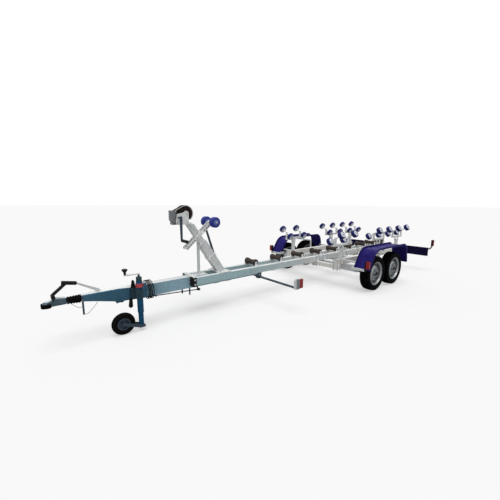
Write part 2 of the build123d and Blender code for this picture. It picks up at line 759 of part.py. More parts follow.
# Stays: struts of the post, the fenders, the marker lamps and the light board
beam_edge = side_beam_y + side_beam_width / 2
mid_station = sum(wheel_stations.values()) / 2
lip_bottom = fender_top - fender_lip - seat_gap
with BuildPart() as stays:
    block(1531, 1557, -13, 13, rail_top, 900)
    post_body(seat_gap, Mode.SUBTRACT)
    rod_y(marker_station, marker_z, marker_arm_radius, -rail_outer - 30, marker_y - 12)
    for side in (-1, 1):
        hanger = sorted((side * (rail_inner + 4), side * (rail_outer + 6)))
        block(marker_station - 26, marker_station + 26, *hanger, marker_z - 20, rail_rear_bottom - seat_gap)
        reach = sorted((side * (beam_edge + seat_gap), side * (fender_inner_y - seat_gap)))
        for station in (3790.0, 4868.0):
            block(station - 20, station + 20, *reach, rail_top - 34, rail_top - 14)
        lamp_arm = sorted((side * 745, side * 948))
        block(3652, 3680, *lamp_arm, 342, 372)
        block(3670, 3765, *sorted((side * 745, side * (fender_inner_y - seat_gap))), 342, 385)
        upright = sorted((side * (beam_edge + seat_gap), side * (beam_edge + 12)))
        block(mid_station - 15, mid_station + 15, *upright, 380, lip_bottom)
        under = sorted((side * (beam_edge + seat_gap), side * 900))
        block(mid_station - 15, mid_station + 15, *under, lip_bottom - 18, lip_bottom)
        pad = sorted((side * 850, side * 900))
        block(mid_station - 15, mid_station + 15, *pad, lip_bottom - 9, fender_top - fender_skin - seat_gap)
        bar = sorted((side * 280, side * 320))
        block(5575, board_station - seat_gap, *bar, rail_rear_bottom + seat_gap, rail_rear_bottom + 40)
stays.part.label = "stays"
export_step(stays.part, "parts/stays.step")

# Bow rollers on one axle
with BuildPart() as bow_rollers:
    for side in (-1, 1):
        with BuildSketch(
            Plane(origin=(at(bow_roller_station), 0, bow_roller_z), x_dir=(0, side, 0), z_dir=(side, 0, 0))
        ):
            with BuildLine():
                Polyline(
                    (58, bow_axle_radius + pin_gap),
                    (58, 24),
                    (66, 24),
                    (66, bow_roller_radius - 12),
                    (76, bow_roller_radius),
                    (124, bow_roller_radius),
                    (134, bow_roller_radius - 12),
                    (134, 24),
                    (137, 24),
                    (137, bow_axle_radius + pin_gap),
                    close=True,
                )
            make_face()
        revolve(axis=Axis((at(bow_roller_station), 0, bow_roller_z), (0, 1, 0)))
bow_rollers.part.label = "bow_rollers"
export_step(bow_rollers.part, "parts/bow_rollers.step")

# Winch frame: base, two cheeks, the ribbed gear cover and the guard bent round the strap
cheek_inner = 56.0
cheek_outer = 60.0
base_top = post_top_z + 12
guard_inner = strap_roll_radius + 5.5
with BuildPart() as winch_frame:
    block(1240, 1446, -cheek_outer, cheek_outer, post_top_z + seat_gap, base_top)
    for side in (-1, 1):
        cheek = sorted((side * cheek_inner, side * cheek_outer))
        link_plate(
            ((drum_station, drum_z, 20), (1390, 1085, 15), (1266, 1085, 15), (crank_station, 1164, 15)), *cheek
        )
        with Locations(Location((at(drum_station), side * 58, drum_z), (90, 0, 0))):
            Cylinder(bow_axle_radius + pin_gap, 8, mode=Mode.SUBTRACT)
        with Locations(Location((at(crank_station), side * 58, crank_z), (90, 0, 0))):
            Cylinder(9 + pin_gap, 8, mode=Mode.SUBTRACT)
    cover_foot = base_top + 8
    side_plate(
        ((1220, 1215), (1252, 1215), (1252, cover_foot), (1238, cover_foot), (1220, cover_foot + 30)), -52, 52
    )
    for rib in range(4):
        low = cover_foot + 30 + rib * 28
        block(1216, 1224, -52, 52, low, low + 15)
    block(1226, 1252, -40, 40, post_top_z + seat_gap, cover_foot + 4)
    with BuildSketch(side_plane(0)):
        with BuildLine():
            inner_arc = CenterArc((at(drum_station), drum_z), guard_inner, 75, 155)
            outer_arc = CenterArc((at(drum_station), drum_z), guard_inner + 5, 75, 155)
            Line(inner_arc @ 1, outer_arc @ 1)
            Polyline(inner_arc @ 0, (at(1250), 1205), (at(1250), 1211), outer_arc @ 0)
        make_face()
    extrude(amount=31, both=True)
winch_frame.part.label = "winch_frame"
export_step(winch_frame.part, "parts/winch_frame.step")

# Winch drum with its spur wheel, the strap wound on it, and the crank
with BuildPart() as winch_drum:
    rod_y(drum_station, drum_z, bow_axle_radius, -63, 63)
    rod_y(drum_station, drum_z, 24, -52, 52)
    rod_y(drum_station, drum_z, gear_radius, -52, -44)
    rod_y(drum_station, drum_z, 30, 36, 42)
winch_drum.part.label = "winch_drum"
export_step(winch_drum.part, "parts/winch_drum.step")

with BuildPart() as strap_roll:
    rod_y(drum_station, drum_z, strap_roll_radius, -27, 27)
    rod_y(drum_station, drum_z, 24 + seat_gap, -30, 30, Mode.SUBTRACT)
strap_roll.part.label = "strap_roll"
export_step(strap_roll.part, "parts/strap_roll.step")

crank_grip_y = 140.0
with BuildPart() as winch_crank:
    rod_y(crank_station, crank_z, 9, -62, crank_grip_y - 6)
    rod_y(crank_station, crank_z, pinion_radius, -52, -44)
    link_plate(
        ((crank_station, crank_z, 16), (crank_station, crank_z - crank_length, 11)), crank_grip_y - 14, crank_grip_y - 6
    )
    rod_y(crank_station, crank_z - crank_length, 6, crank_grip_y - 8, crank_grip_y + 130)
winch_crank.part.label = "winch_crank"
export_step(winch_crank.part, "parts/winch_crank.step")

with BuildPart() as winch_grip:
    rod_y(crank_station, crank_z - crank_length, 17, crank_grip_y, crank_grip_y + 128)
    fillet(winch_grip.edges().filter_by(GeomType.CIRCLE), 6)
    rod_y(crank_station, crank_z - crank_length, 6 + pin_gap, crank_grip_y - 10, crank_grip_y + 140, Mode.SUBTRACT)
winch_grip.part.label = "winch_grip"
export_step(winch_grip.part, "parts/winch_grip.step")

# Roller brackets: the keel rollers' ears over the rails, the bogies' posts on the side beams
bracket_y = 108.0
post_ear_inner = 22.0
post_ear_outer = 28.0
with BuildPart() as roller_brackets:
    for station in keel_stations:
        for side in (-1, 1):
            ear = sorted((side * (bracket_y - 3), side * (bracket_y + 3)))
            link_plate(
                ((station, keel_roller_z, 16), (station - 26, rail_top + 3, 3), (station + 26, rail_top + 3, 3)), *ear
            )
            foot = sorted((side * (rail_inner + 6), side * (rail_outer - 2)))
            block(station - 30, station + 30, *foot, rail_top, rail_top + 6)
        rod_y(station, keel_roller_z, keel_pin_radius, -bracket_y - 9, bracket_y + 9)
    for station in bogie_stations.values():
        for side in (-1, 1):
            middle = side * side_beam_y
            block(station - 22, station + 22, middle - 22, middle + 22, rail_top, bogie_pivot_z - 60)
            block(station - 40, station + 40, middle - 28, middle + 28, rail_top, rail_top + 8)
            for ear_side in (-1, 1):
                ear = sorted((middle + ear_side * post_ear_inner, middle + ear_side * post_ear_outer))
                link_plate(
                    (
                        (station, bogie_pivot_z, 20),
                        (station - 18, bogie_pivot_z - 72, 6),
                        (station + 18, bogie_pivot_z - 72, 6),
                    ),
                    *ear,
                )
            rod_y(station, bogie_pivot_z, bogie_pin_radius, middle - 33, middle + 33)
roller_brackets.part.label = "roller_brackets"
export_step(roller_brackets.part, "parts/roller_brackets.step")

# Keel rollers: waisted rubber rollers in a line down the middle
with BuildPart() as keel_rollers:
    for station in keel_stations:
        with BuildSketch(Plane(origin=(at(station), 0, keel_roller_z), x_dir=(0, 1, 0), z_dir=(1, 0, 0))):
            with BuildLine():
                Polyline(
                    (-keel_roller_half, keel_pin_radius + seat_gap),
                    (-keel_roller_half, keel_roller_radius),
                    (-keel_roller_half + 24, keel_roller_radius),
                    (-34, keel_roller_waist),
                    (34, keel_roller_waist),
                    (keel_roller_half - 24, keel_roller_radius),
                    (keel_roller_half, keel_roller_radius),
                    (keel_roller_half, keel_pin_radius + seat_gap),
                    close=True,
                )
            make_face()
        revolve(axis=Axis((at(station), 0, keel_roller_z), (0, 1, 0)))
keel_rollers.part.label = "keel_rollers"
export_step(keel_rollers.part, "parts/keel_rollers.step")

# Hull roller bogies: a tilting beam with a sloping axle at each end, four rollers each
axle_rise = hull_outer[1] - hull_inner[1]
axle_run = hull_outer[0] - hull_inner[0]
axle_tilt = atan2(axle_rise, axle_run)
axle_span = hypot(axle_rise, axle_run)
hull_axle_radius = 9.0
for place, station in bogie_stations.items():
    for hand, side in (("left", 1), ("right", -1)):
        middle = side * side_beam_y
        with BuildPart() as bogie:
            block(
                station - bogie_half_length - 12,
                station + bogie_half_length + 12,
                middle - 18,
                middle + 18,
                bogie_pivot_z - 16,
                bogie_pivot_z + 16,
            )
            rod_y(station, bogie_pivot_z, 21, middle - 20, middle + 20)
            rod_y(station, bogie_pivot_z, bogie_pin_radius + pin_gap, middle - 40, middle + 40, Mode.SUBTRACT)
            for end in (-1, 1):
                end_station = station + end * bogie_half_length
                block(end_station - 12, end_station + 12, middle - 12, middle + 16, bogie_pivot_z, 790)
                with BuildSketch(
                    Plane(
                        origin=(at(end_station), side * hull_inner[0], hull_inner[1]),
                        z_dir=(0, side * cos(axle_tilt), sin(axle_tilt)),
                    ).offset(-36)
                ):
                    Circle(hull_axle_radius)
                extrude(amount=axle_span + 72)
        bogie.part.label = f"bogie_{place}_{hand}"
        export_step(bogie.part, f"parts/bogie_{place}_{hand}.step")

        with BuildPart() as hull_rollers:
            for end in (-1, 1):
                end_station = station + end * bogie_half_length
                for along in (0, axle_span):
                    with BuildSketch(
                        Plane(
                            origin=(at(end_station), side * hull_inner[0], hull_inner[1]),
                            z_dir=(0, side * cos(axle_tilt), sin(axle_tilt)),
                        ).offset(along - hull_roller_width / 2)
                    ):
                        Circle(hull_roller_radius)
                        Circle(hull_axle_radius + seat_gap, mode=Mode.SUBTRACT)
                    extrude(amount=hull_roller_width)
            fillet(
                hull_rollers.edges().filter_by(GeomType.CIRCLE).filter_by(lambda e: e.radius > hull_roller_radius - 1), 14
            )
        hull_rollers.part.label = f"hull_rollers_{place}_{hand}"
        export_step(hull_rollers.part, f"parts/hull_rollers_{place}_{hand}.step")

# Lamps: the front marker, fender markers, rear lamps and stalk lamps
stalk_lamp = {"inner": 981.0, "outer": 1021.0, "bottom": 498.0, "top": 614.0}
with BuildPart() as lamp_bodies:
    block(2385, 2440, marker_y - 12 + seat_gap, marker_y + 16, 293, 411)
    for side in (-1, 1):
        block(3650, 3682, *sorted((side * (948 + seat_gap), side * 972)), 342, 490)
        block(6012, 6032, *sorted((side * 690, side * 925)), 318, 432)
        with BuildLine() as stalk:
            FilletPolyline(
                (at(6001), side * (board_half_width + seat_gap), 436),
                (at(6001), side * 964, 436),
                (at(6006), side * 992, 474),
                (at(6006), side * 1001, 510),
                radius=(9, 14),
            )
        with BuildSketch(Plane(origin=stalk.line @ 0, z_dir=stalk.line % 0)):
            Circle(11)
        sweep(path=stalk.line)
        lamp_y = sorted((side * stalk_lamp["inner"], side * stalk_lamp["outer"]))
        block(5992, 6019, *lamp_y, stalk_lamp["bottom"], stalk_lamp["top"])
lamp_bodies.part.label = "lamp_bodies"
export_step(lamp_bodies.part, "parts/lamp_bodies.step")

with BuildPart() as red_lenses:
    block(2440 + seat_gap, 2500, marker_y - 11, marker_y + 15, 297, 407)
    for side in (-1, 1):
        block(3646, 3686, *sorted((side * (972 + seat_gap), side * 1016)), 388, 488)
        block(6032 + seat_gap, 6060, *sorted((side * 694, side * 921)), 322, 428)
        lens_y = sorted((side * (stalk_lamp["inner"] + 2), side * (stalk_lamp["outer"] - 2)))
        block(6019 + seat_gap, 6034, *lens_y, stalk_lamp["bottom"] + 3, stalk_lamp["top"] - 3)
red_lenses.part.label = "red_lenses"
export_step(red_lenses.part, "parts/red_lenses.step")

with BuildPart() as clear_lenses:
    block(2366, 2385 - seat_gap, marker_y - 11, marker_y + 15, 297, 407)
clear_lenses.part.label = "clear_lenses"
export_step(clear_lenses.part, "parts/clear_lenses.step")

# Light board across the tail, on two bars from the rear cross member
with BuildPart() as light_board:
    block(board_station, 6012 - seat_gap, -board_half_width, board_half_width, board_bottom, board_top)
    block(
        board_station + 3,
        6013,
        -board_half_width + 3,
        board_half_width - 3,
        board_bottom + 3,
        board_top - 3,
        Mode.SUBTRACT,
    )
    block(board_station, 6012 - seat_gap, -board_half_width + 3, board_half_width - 3, 318, 432)
light_board.part.label = "light_board"
export_step(light_board.part, "parts/light_board.step")
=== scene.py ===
# Boat trailer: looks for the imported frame. Metres, +X to the coupling, +Y the left side, ground at z = 0.
import bpy
import bmesh
import math
import random
from mathutils import Matrix, Vector


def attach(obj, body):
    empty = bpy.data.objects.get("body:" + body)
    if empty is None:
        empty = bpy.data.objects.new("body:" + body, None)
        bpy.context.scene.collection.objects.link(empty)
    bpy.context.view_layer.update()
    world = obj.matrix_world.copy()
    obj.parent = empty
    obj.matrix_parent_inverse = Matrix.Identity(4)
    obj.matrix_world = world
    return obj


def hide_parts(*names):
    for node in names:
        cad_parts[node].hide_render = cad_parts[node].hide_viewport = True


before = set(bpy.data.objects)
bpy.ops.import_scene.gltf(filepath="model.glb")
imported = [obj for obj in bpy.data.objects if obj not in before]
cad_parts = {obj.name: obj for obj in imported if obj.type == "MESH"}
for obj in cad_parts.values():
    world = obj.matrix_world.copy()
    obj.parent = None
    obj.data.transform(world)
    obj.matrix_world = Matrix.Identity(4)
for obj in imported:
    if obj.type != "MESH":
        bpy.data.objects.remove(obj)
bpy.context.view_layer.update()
noseX = 3.03


def at(station):  # station: metres behind the coupling's nose
    return noseX - station


def addNode(nodes, kind, inputs=(), **settings):
    made = nodes.new(kind)
    for key, value in settings.items():
        setattr(made, key, value)
    for key, value in dict(inputs).items():
        made.inputs[key].default_value = value
    return made


def linkObject(name, data):
    made = bpy.data.objects.new(name, data)
    bpy.context.scene.collection.objects.link(made)
    return made


# Camera, lamps and floor
stageSetup = {
    "cameraPlace": (3.062, 2.943, 1.305),
    "cameraYaw": 0.8935,
    "cameraPitch": 0.1683,
    "cameraRoll": 0.0045,
    "lens": 20.14,
    "worldStrength": 0.4,
    "keyStrength": 2.05,
    "keyAngle": (-0.1, 0.16, 0.4),
    "keySpread": 50,
    "floorHalf": 120,
    "floorColor": (0.44, 0.44, 0.44),
    "floorGlow": 0.49,
}


def buildCamera():
    yaw, pitch, roll = stageSetup["cameraYaw"], stageSetup["cameraPitch"], stageSetup["cameraRoll"]
    ahead = Vector((-math.cos(yaw) * math.cos(pitch), -math.sin(yaw) * math.cos(pitch), -math.sin(pitch)))
    right = ahead.cross(Vector((0, 0, 1))).normalized()
    up = right.cross(ahead)
    turnedRight = math.cos(roll) * right + math.sin(roll) * up
    turnedUp = turnedRight.cross(ahead)
    data = bpy.data.cameras.new("camera")
    data.lens = stageSetup["lens"]
    data.sensor_width = 36
    data.clip_start = 0.05
    data.clip_end = 400
    camera = bpy.data.objects.new("camera", data)
    basis = Matrix((turnedRight, turnedUp, -ahead)).transposed().to_4x4()
    camera.matrix_world = Matrix.Translation(stageSetup["cameraPlace"]) @ basis
    bpy.context.scene.collection.objects.link(camera)
    bpy.context.scene.camera = camera


def buildStage():
    scene = bpy.context.scene
    scene.view_settings.view_transform = "Standard"
    world = bpy.data.worlds.new("studio")
    scene.world = world
    world.use_nodes = True
    nodes, links = world.node_tree.nodes, world.node_tree.links
    back = nodes["Background"]
    path = nodes.new("ShaderNodeLightPath")
    bright = path.outputs["Is Camera Ray"]
    for ray in ("Is Transmission Ray", "Is Glossy Ray"):
        either = addNode(nodes, "ShaderNodeMath", operation="MAXIMUM")
        links.new(bright, either.inputs[0])
        links.new(path.outputs[ray], either.inputs[1])
        bright = either.outputs[0]
    blend = addNode(nodes, "ShaderNodeMix", {2: stageSetup["worldStrength"], 3: 1.0})
    links.new(bright, blend.inputs[0])
    links.new(blend.outputs[0], back.inputs["Strength"])
    back.inputs["Color"].default_value = (1, 1, 1, 1)

    key = bpy.data.lights.new("key", "SUN")
    key.energy = stageSetup["keyStrength"]
    key.angle = math.radians(stageSetup["keySpread"])
    linkObject("key", key).rotation_euler = stageSetup["keyAngle"]

    mesh = bpy.data.meshes.new("floor")
    half = stageSetup["floorHalf"]
    corners = [(-half, -half, 0), (half, -half, 0), (half, half, 0), (-half, half, 0)]
    mesh.from_pydata(corners, [], [(0, 1, 2, 3)])
    floor = linkObject("floor", mesh)
    material = bpy.data.materials.new("paleFloor")
    material.use_nodes = True
    nodes, links = material.node_tree.nodes, material.node_tree.links
    shader = nodes["Principled BSDF"]
    shader.inputs["Base Color"].default_value = (*stageSetup["floorColor"], 1)
    shader.inputs["Roughness"].default_value = 1.0
    shader.inputs["Specular IOR Level"].default_value = 0.0
    glow = nodes.new("ShaderNodeEmission")
    path = nodes.new("ShaderNodeLightPath")
    scale = addNode(nodes, "ShaderNodeMath", {1: stageSetup["floorGlow"]}, operation="MULTIPLY")
    links.new(path.outputs["Is Camera Ray"], scale.inputs[0])
    links.new(scale.outputs[0], glow.inputs["Strength"])
    add = nodes.new("ShaderNodeAddShader")
    links.new(shader.outputs[0], add.inputs[0])
    links.new(glow.outputs[0], add.inputs[1])
    links.new(add.outputs[0], nodes["Material Output"].inputs["Surface"])
    mesh.materials.append(material)


buildCamera()
buildStage()
print("stage: camera, lamp and floor")


# Materials: one row each, by the columns below; patterns read Object coordinates, so 1 unit is 1 metre
finishColumns = ("low", "high", "cell", "metal", "rough", "bump", "streak", "spec")
finishRows = {
    "galvanised": ((0.56, 0.59, 0.6), (0.78, 0.8, 0.8), 55, 0.1, (0.4, 0.6), 0.0004, 0.5, 0.3),
    "railZinc": ((0.68, 0.7, 0.69), (0.88, 0.89, 0.87), 55, 0.1, (0.4, 0.6), 0.0004, 0.5, 0.3),
    "postZinc": ((0.46, 0.50, 0.51), (0.84, 0.86, 0.85), 38, 0.1, (0.4, 0.6), 0.0005, 0.7, 0.3),
    "warmZinc": ((0.8, 0.78, 0.74), (0.93, 0.91, 0.87), 55, 0.1, (0.4, 0.6), 0.0004, 0.5, 0.3),
    "paleZinc": ((0.76, 0.79, 0.79), (0.92, 0.93, 0.92), 55, 0.05, (0.4, 0.6), 0.0003, 0.4, 0.3),
    "brightSteel": ((0.42, 0.44, 0.45), (0.64, 0.66, 0.67), 160, 0.4, (0.28, 0.45), 0.0002, 0.25, 0.4),
    "darkSteel": ((0.035, 0.055, 0.08), (0.07, 0.1, 0.135), 160, 0.1, (0.35, 0.5), 0.0002, 0.25, 0.2),
    "coverGrey": ((0.17, 0.19, 0.205), (0.27, 0.29, 0.3), 120, 0.1, (0.4, 0.55), 0.0003, 0.3, 0.25),
    "rimSilver": ((0.09, 0.105, 0.115), (0.24, 0.255, 0.265), 240, 0.2, (0.35, 0.5), 0.0002, 0.2, 0.3),
    # the next two rows are shaded and lit copies of the rim finish: painted shade and painted highlight
    "rimShade": ((0.035, 0.042, 0.047), (0.10, 0.112, 0.12), 240, 0.2, (0.35, 0.5), 0.0002, 0.3, 0.3),
    "rimPaintedHighlight": ((0.34, 0.37, 0.385), (0.52, 0.545, 0.555), 240, 0.3, (0.3, 0.45), 0.0002, 0.2, 0.4),
    "headGrey": ((0.055, 0.095, 0.125), (0.11, 0.165, 0.2), 90, 0.1, (0.38, 0.55), 0.0006, 0.3, 0.25),
    "housingGrey": ((0.025, 0.095, 0.16), (0.06, 0.16, 0.245), 90, 0.1, (0.38, 0.55), 0.0007, 0.3, 0.25),
    "drawbarGrey": ((0.22, 0.39, 0.49), (0.4, 0.59, 0.68), 60, 0.1, (0.38, 0.55), 0.0004, 0.7, 0.25),
    "fenderBlue": ((0.012, 0.008, 0.1), (0.029, 0.021, 0.185), 30, 0.0, (0.34, 0.48), 0.0003, 0.25, 0.05),
    "boardNavy": ((0.006, 0.0045, 0.033), (0.015, 0.011, 0.065), 30, 0.0, (0.4, 0.55), 0.0003, 0.25, 0.03),
    "jackBlue": ((0.003, 0.055, 0.13), (0.01, 0.105, 0.215), 40, 0.0, (0.3, 0.45), 0.0002, 0.3, 0.15),
    "collarRed": ((0.42, 0.05, 0.07), (0.62, 0.1, 0.12), 60, 0.0, (0.3, 0.45), 0.0002, 0.2, 0.2),
    "clampTeal": ((0.018, 0.042, 0.056), (0.045, 0.085, 0.105), 70, 0.1, (0.38, 0.52), 0.0004, 0.3, 0.15),
    "blackPaint": ((0.008, 0.0075, 0.0075), (0.022, 0.021, 0.021), 70, 0.0, (0.4, 0.55), 0.0004, 0.3, 0.1),
    "blackPlastic": ((0.008, 0.0075, 0.008),
        (0.018, 0.0175, 0.018), 900, 0.0, (0.45, 0.6), 0.0001, 0.1, 0.08),
    "blackRubber": ((0.003, 0.0024, 0.0025), (0.01, 0.0085, 0.0085), 300, 0.0, (0.6, 0.8), 0.0002, 0.2, 0.03),
    "tyreRubber": ((0.0015, 0.0014, 0.0015), (0.006, 0.0058, 0.006), 220, 0.0, (0.6, 0.8), 0.0004, 0.3, 0.02),
    "rollerBlue": ((0.01, 0.013, 0.1), (0.022, 0.03, 0.19), 80, 0.0, (0.35, 0.5), 0.0003, 0.3, 0.15),
    "bowBlue": ((0.012, 0.018, 0.2), (0.032, 0.052, 0.34), 80, 0.0, (0.35, 0.5), 0.0003, 0.3, 0.15),
    "bowPale": ((0.10, 0.14, 0.42), (0.20, 0.26, 0.55), 80, 0.0, (0.35, 0.5), 0.0003, 0.3, 0.15),
    "lensDark": ((0.06, 0.005, 0.008), (0.13, 0.012, 0.016), 60, 0.0, (0.2, 0.3), 0.0002, 0.1, 0.2),
    # a paler copy of the roller blue: painted highlight
    "rollerPaintedHighlight": ((0.66, 0.69, 0.76), (0.84, 0.86, 0.91), 80, 0.0, (0.35, 0.5), 0.0003, 0.3, 0.2),
    "keelBlack": ((0.042, 0.032, 0.028), (0.09, 0.071, 0.062), 150, 0.0, (0.55, 0.7), 0.0004, 0.3, 0.1),
    "strapBrown": ((0.018, 0.013, 0.011), (0.05, 0.038, 0.033), 400, 0.0, (0.75, 0.9), 0.0003, 0.2, 0.05),
    "lensRed": ((0.28, 0.012, 0.018), (0.42, 0.03, 0.035), 60, 0.0, (0.12, 0.2), 0.0002, 0.1, 0.3),
    "lensClear": ((0.7, 0.71, 0.71), (0.84, 0.84, 0.83), 60, 0.0, (0.12, 0.2), 0.0002, 0.1, 0.3),
}
finishExtras = {
    # the rails and the drawbar carry painted side shade that fades out along X, and the rails also carry
    # painted shade along their lower edge
    "railZinc": {"paintedSideShade": (at(1.7), at(4.1), (0.50, 0.70, 0.76)), "foot": (0.348, 0.364)},
    "drawbarGrey": {"paintedSideShade": (at(0.70), at(1.22), (0.09, 0.20, 0.28))},
    "strapBrown": {"weave": 700},
    "lensRed": {"ribs": 210},
    "lensClear": {"ribs": 210},
}
finishes = {name: {**dict(zip(finishColumns, row)), **finishExtras.get(name, {})}
            for name, row in finishRows.items()}
wavePeriod = 6.28
patternSettings = {
    "broadScale": 3.2,
    "broadDetail": 6,
    "broadRoughness": 0.62,
    "streakScale": 14,
    "streakDetail": 5,
    "streakSqueeze": (1.0, 1.0, 0.22),
    "finePerCell": 2.3,
    "fineDetail": 4,
    "cellShare": 0.45,
    "spreadLow": 0.45,
    "spreadHigh": 1.15,
    "spreadPerStreak": 0.5,
    "paintedShadeFacingUp": 0.18,
    # colour of the painted shade along the rails' lower edge
    "footTint": (0.16, 0.22, 0.27),
    "bumpStrength": 0.9,
}


def buildMaterial(name, finish):
    s = patternSettings
    material = bpy.data.materials.new(name)
    material.use_nodes = True
    nodes, links = material.node_tree.nodes, material.node_tree.links
    shader = nodes["Principled BSDF"]
    place = nodes.new("ShaderNodeTexCoord").outputs["Object"]

    def node(kind, inputs=(), **settings):
        return addNode(nodes, kind, inputs, **settings)

    def noise(scale, detail, vector):
        made = node("ShaderNodeTexNoise", {"Scale": scale, "Detail": detail})
        links.new(vector, made.inputs["Vector"])
        return made

    def product(first, second):
        made = node("ShaderNodeMath", operation="MULTIPLY")
        links.new(first, made.inputs[0])
        links.new(second, made.inputs[1])
        return made.outputs[0]

    # multiplies painted shade into a colour
    def withPaintedShade(color, shadeTint, share):
        made = node("ShaderNodeMix", {7: (*shadeTint, 1)}, data_type="RGBA", blend_type="MULTIPLY")
        links.new(share, made.inputs["Factor"])
        links.new(color, made.inputs[6])
        return made.outputs[2]

    cells = node("ShaderNodeTexVoronoi", {"Scale": finish["cell"]}, feature="F1")
    links.new(place, cells.inputs["Vector"])
    broad = noise(s["broadScale"], s["broadDetail"], place)
    broad.inputs["Roughness"].default_value = s["broadRoughness"]
    squeeze = node("ShaderNodeMapping", {"Scale": s["streakSqueeze"]})
    links.new(place, squeeze.inputs["Vector"])
    streaks = noise(s["streakScale"], s["streakDetail"], squeeze.outputs[0])
    fine = noise(finish["cell"] * s["finePerCell"], s["fineDetail"], place)

    cellShade = node("ShaderNodeSeparateColor")
    links.new(cells.outputs["Color"], cellShade.inputs[0])
    sumA = node("ShaderNodeMath", {1: s["cellShare"]}, operation="MULTIPLY_ADD")
    links.new(cellShade.outputs[0], sumA.inputs[0])
    links.new(broad.outputs["Fac"], sumA.inputs[2])
    sumB = node("ShaderNodeMath", {1: finish["streak"]}, operation="MULTIPLY_ADD")
    links.new(streaks.outputs["Fac"], sumB.inputs[0])
    links.new(sumA.outputs[0], sumB.inputs[2])
    spreadHigh = s["spreadHigh"] + s["spreadPerStreak"] * finish["streak"]
    spread = node("ShaderNodeMapRange", {"From Min": s["spreadLow"], "From Max": spreadHigh})
    links.new(sumB.outputs[0], spread.inputs["Value"])
    shade = node("ShaderNodeValToRGB")
    shade.color_ramp.elements[0].color = (*finish["low"], 1)
    shade.color_ramp.elements[1].color = (*finish["high"], 1)
    links.new(spread.outputs[0], shade.inputs["Fac"])
    paint = shade.outputs["Color"]
    if "paintedSideShade" in finish:  # painted side shade: it fades out from one X to another, and faces that look up hold less of it, so their tops look lit
        front, back, shadeTint = finish["paintedSideShade"]
        split = node("ShaderNodeSeparateXYZ")
        links.new(place, split.inputs[0])
        share = node("ShaderNodeMapRange", {"From Min": back, "From Max": front},
                     interpolation_type="SMOOTHSTEP")
        links.new(split.outputs["X"], share.inputs["Value"])
        facing = node("ShaderNodeSeparateXYZ")
        links.new(node("ShaderNodeNewGeometry").outputs["Normal"], facing.inputs[0])
        shadeByFacing = node("ShaderNodeMapRange", {"To Min": 1.0, "To Max": s["paintedShadeFacingUp"]})
        links.new(facing.outputs["Z"], shadeByFacing.inputs["Value"])
        paint = withPaintedShade(paint, shadeTint, product(share.outputs[0], shadeByFacing.outputs[0]))
    if "foot" in finish:  # painted shade along the lower edge, strongest where the painted side shade is strong
        low, high = finish["foot"]
        foot = node("ShaderNodeMapRange", {"From Min": high, "From Max": low})
        links.new(split.outputs["Z"], foot.inputs["Value"])
        paint = withPaintedShade(paint, s["footTint"], product(foot.outputs[0], share.outputs[0]))
    links.new(paint, shader.inputs["Base Color"])

    smoothest, roughest = finish["rough"]
    gloss = node("ShaderNodeMapRange", {"To Min": roughest, "To Max": smoothest})
    links.new(spread.outputs[0], gloss.inputs["Value"])
    links.new(gloss.outputs[0], shader.inputs["Roughness"])
    shader.inputs["Metallic"].default_value = finish["metal"]
    shader.inputs["Specular IOR Level"].default_value = finish["spec"]

    height = fine.outputs["Fac"]
    for pattern, axis in (("weave", "DIAGONAL"), ("ribs", "Z")):
        if pattern in finish:
            wave = node("ShaderNodeTexWave", {"Scale": finish[pattern] / wavePeriod}, bands_direction=axis)
            links.new(place, wave.inputs["Vector"])
            both = node("ShaderNodeMath", operation="ADD")
            links.new(height, both.inputs[0])
            links.new(wave.outputs["Fac"], both.inputs[1])
            height = both.outputs[0]
    bump = node("ShaderNodeBump", {"Distance": finish["bump"], "Strength": s["bumpStrength"]})
    links.new(height, bump.inputs["Height"])
    links.new(bump.outputs[0], shader.inputs["Normal"])
    return material


materials = {name: buildMaterial(name, finish) for name, finish in finishes.items()}
print("materials:", len(materials))

nodeFinish = {
    "coupling_head": "headGrey", "nose_cap": "blackRubber", "coupling_handle": "blackPaint",
    "handbrake_lever": "galvanised", "hand_grips": "blackPlastic", "bellows": "blackRubber",
    "overrun_housing": "housingGrey", "breakaway_cable": "darkSteel", "jockey_tube": "jackBlue",
    "jockey_collar": "collarRed", "jockey_crank": "clampTeal", "jockey_clamp": "clampTeal",
    "jockey_leg": "jackBlue", "jockey_fork": "darkSteel", "jockey_tyre": "blackRubber",
    "jockey_rim": "darkSteel", "drawbar_tube": "drawbarGrey", "cable_coil": "blackRubber",
    "trailer_plug": "blackPlastic", "brake_rod": "darkSteel", "junction_clamp": "blackPaint",
    "main_rails": "railZinc", "side_frame": "warmZinc", "axles": "galvanised", "fenders": "fenderBlue",
    "stays": "galvanised", "winch_post": "postZinc", "bow_arm": "paleZinc", "bow_rollers": "bowBlue",
    "winch_frame": "paleZinc", "winch_drum": "brightSteel", "strap_roll": "strapBrown",
    "winch_crank": "darkSteel", "winch_grip": "blackPlastic", "roller_brackets": "paleZinc",
    "keel_rollers": "keelBlack", "lamp_bodies": "blackPlastic", "red_lenses": "lensRed",
    "clear_lenses": "lensClear", "light_board": "boardNavy",
}
groupFinish = {
    "tyre_": "tyreRubber", "rim_": "rimSilver", "bogie_": "paleZinc", "hull_rollers_": "rollerBlue",
}


def upPost(p):  # metres up along the slanted winch post from its foot
    return (p.x - at(1.845)) * 0.556 + (p.z - 0.45) * 0.832


wheelStations = {"front": 4.0, "rear": 4.576}
tyreRadius = 0.2625
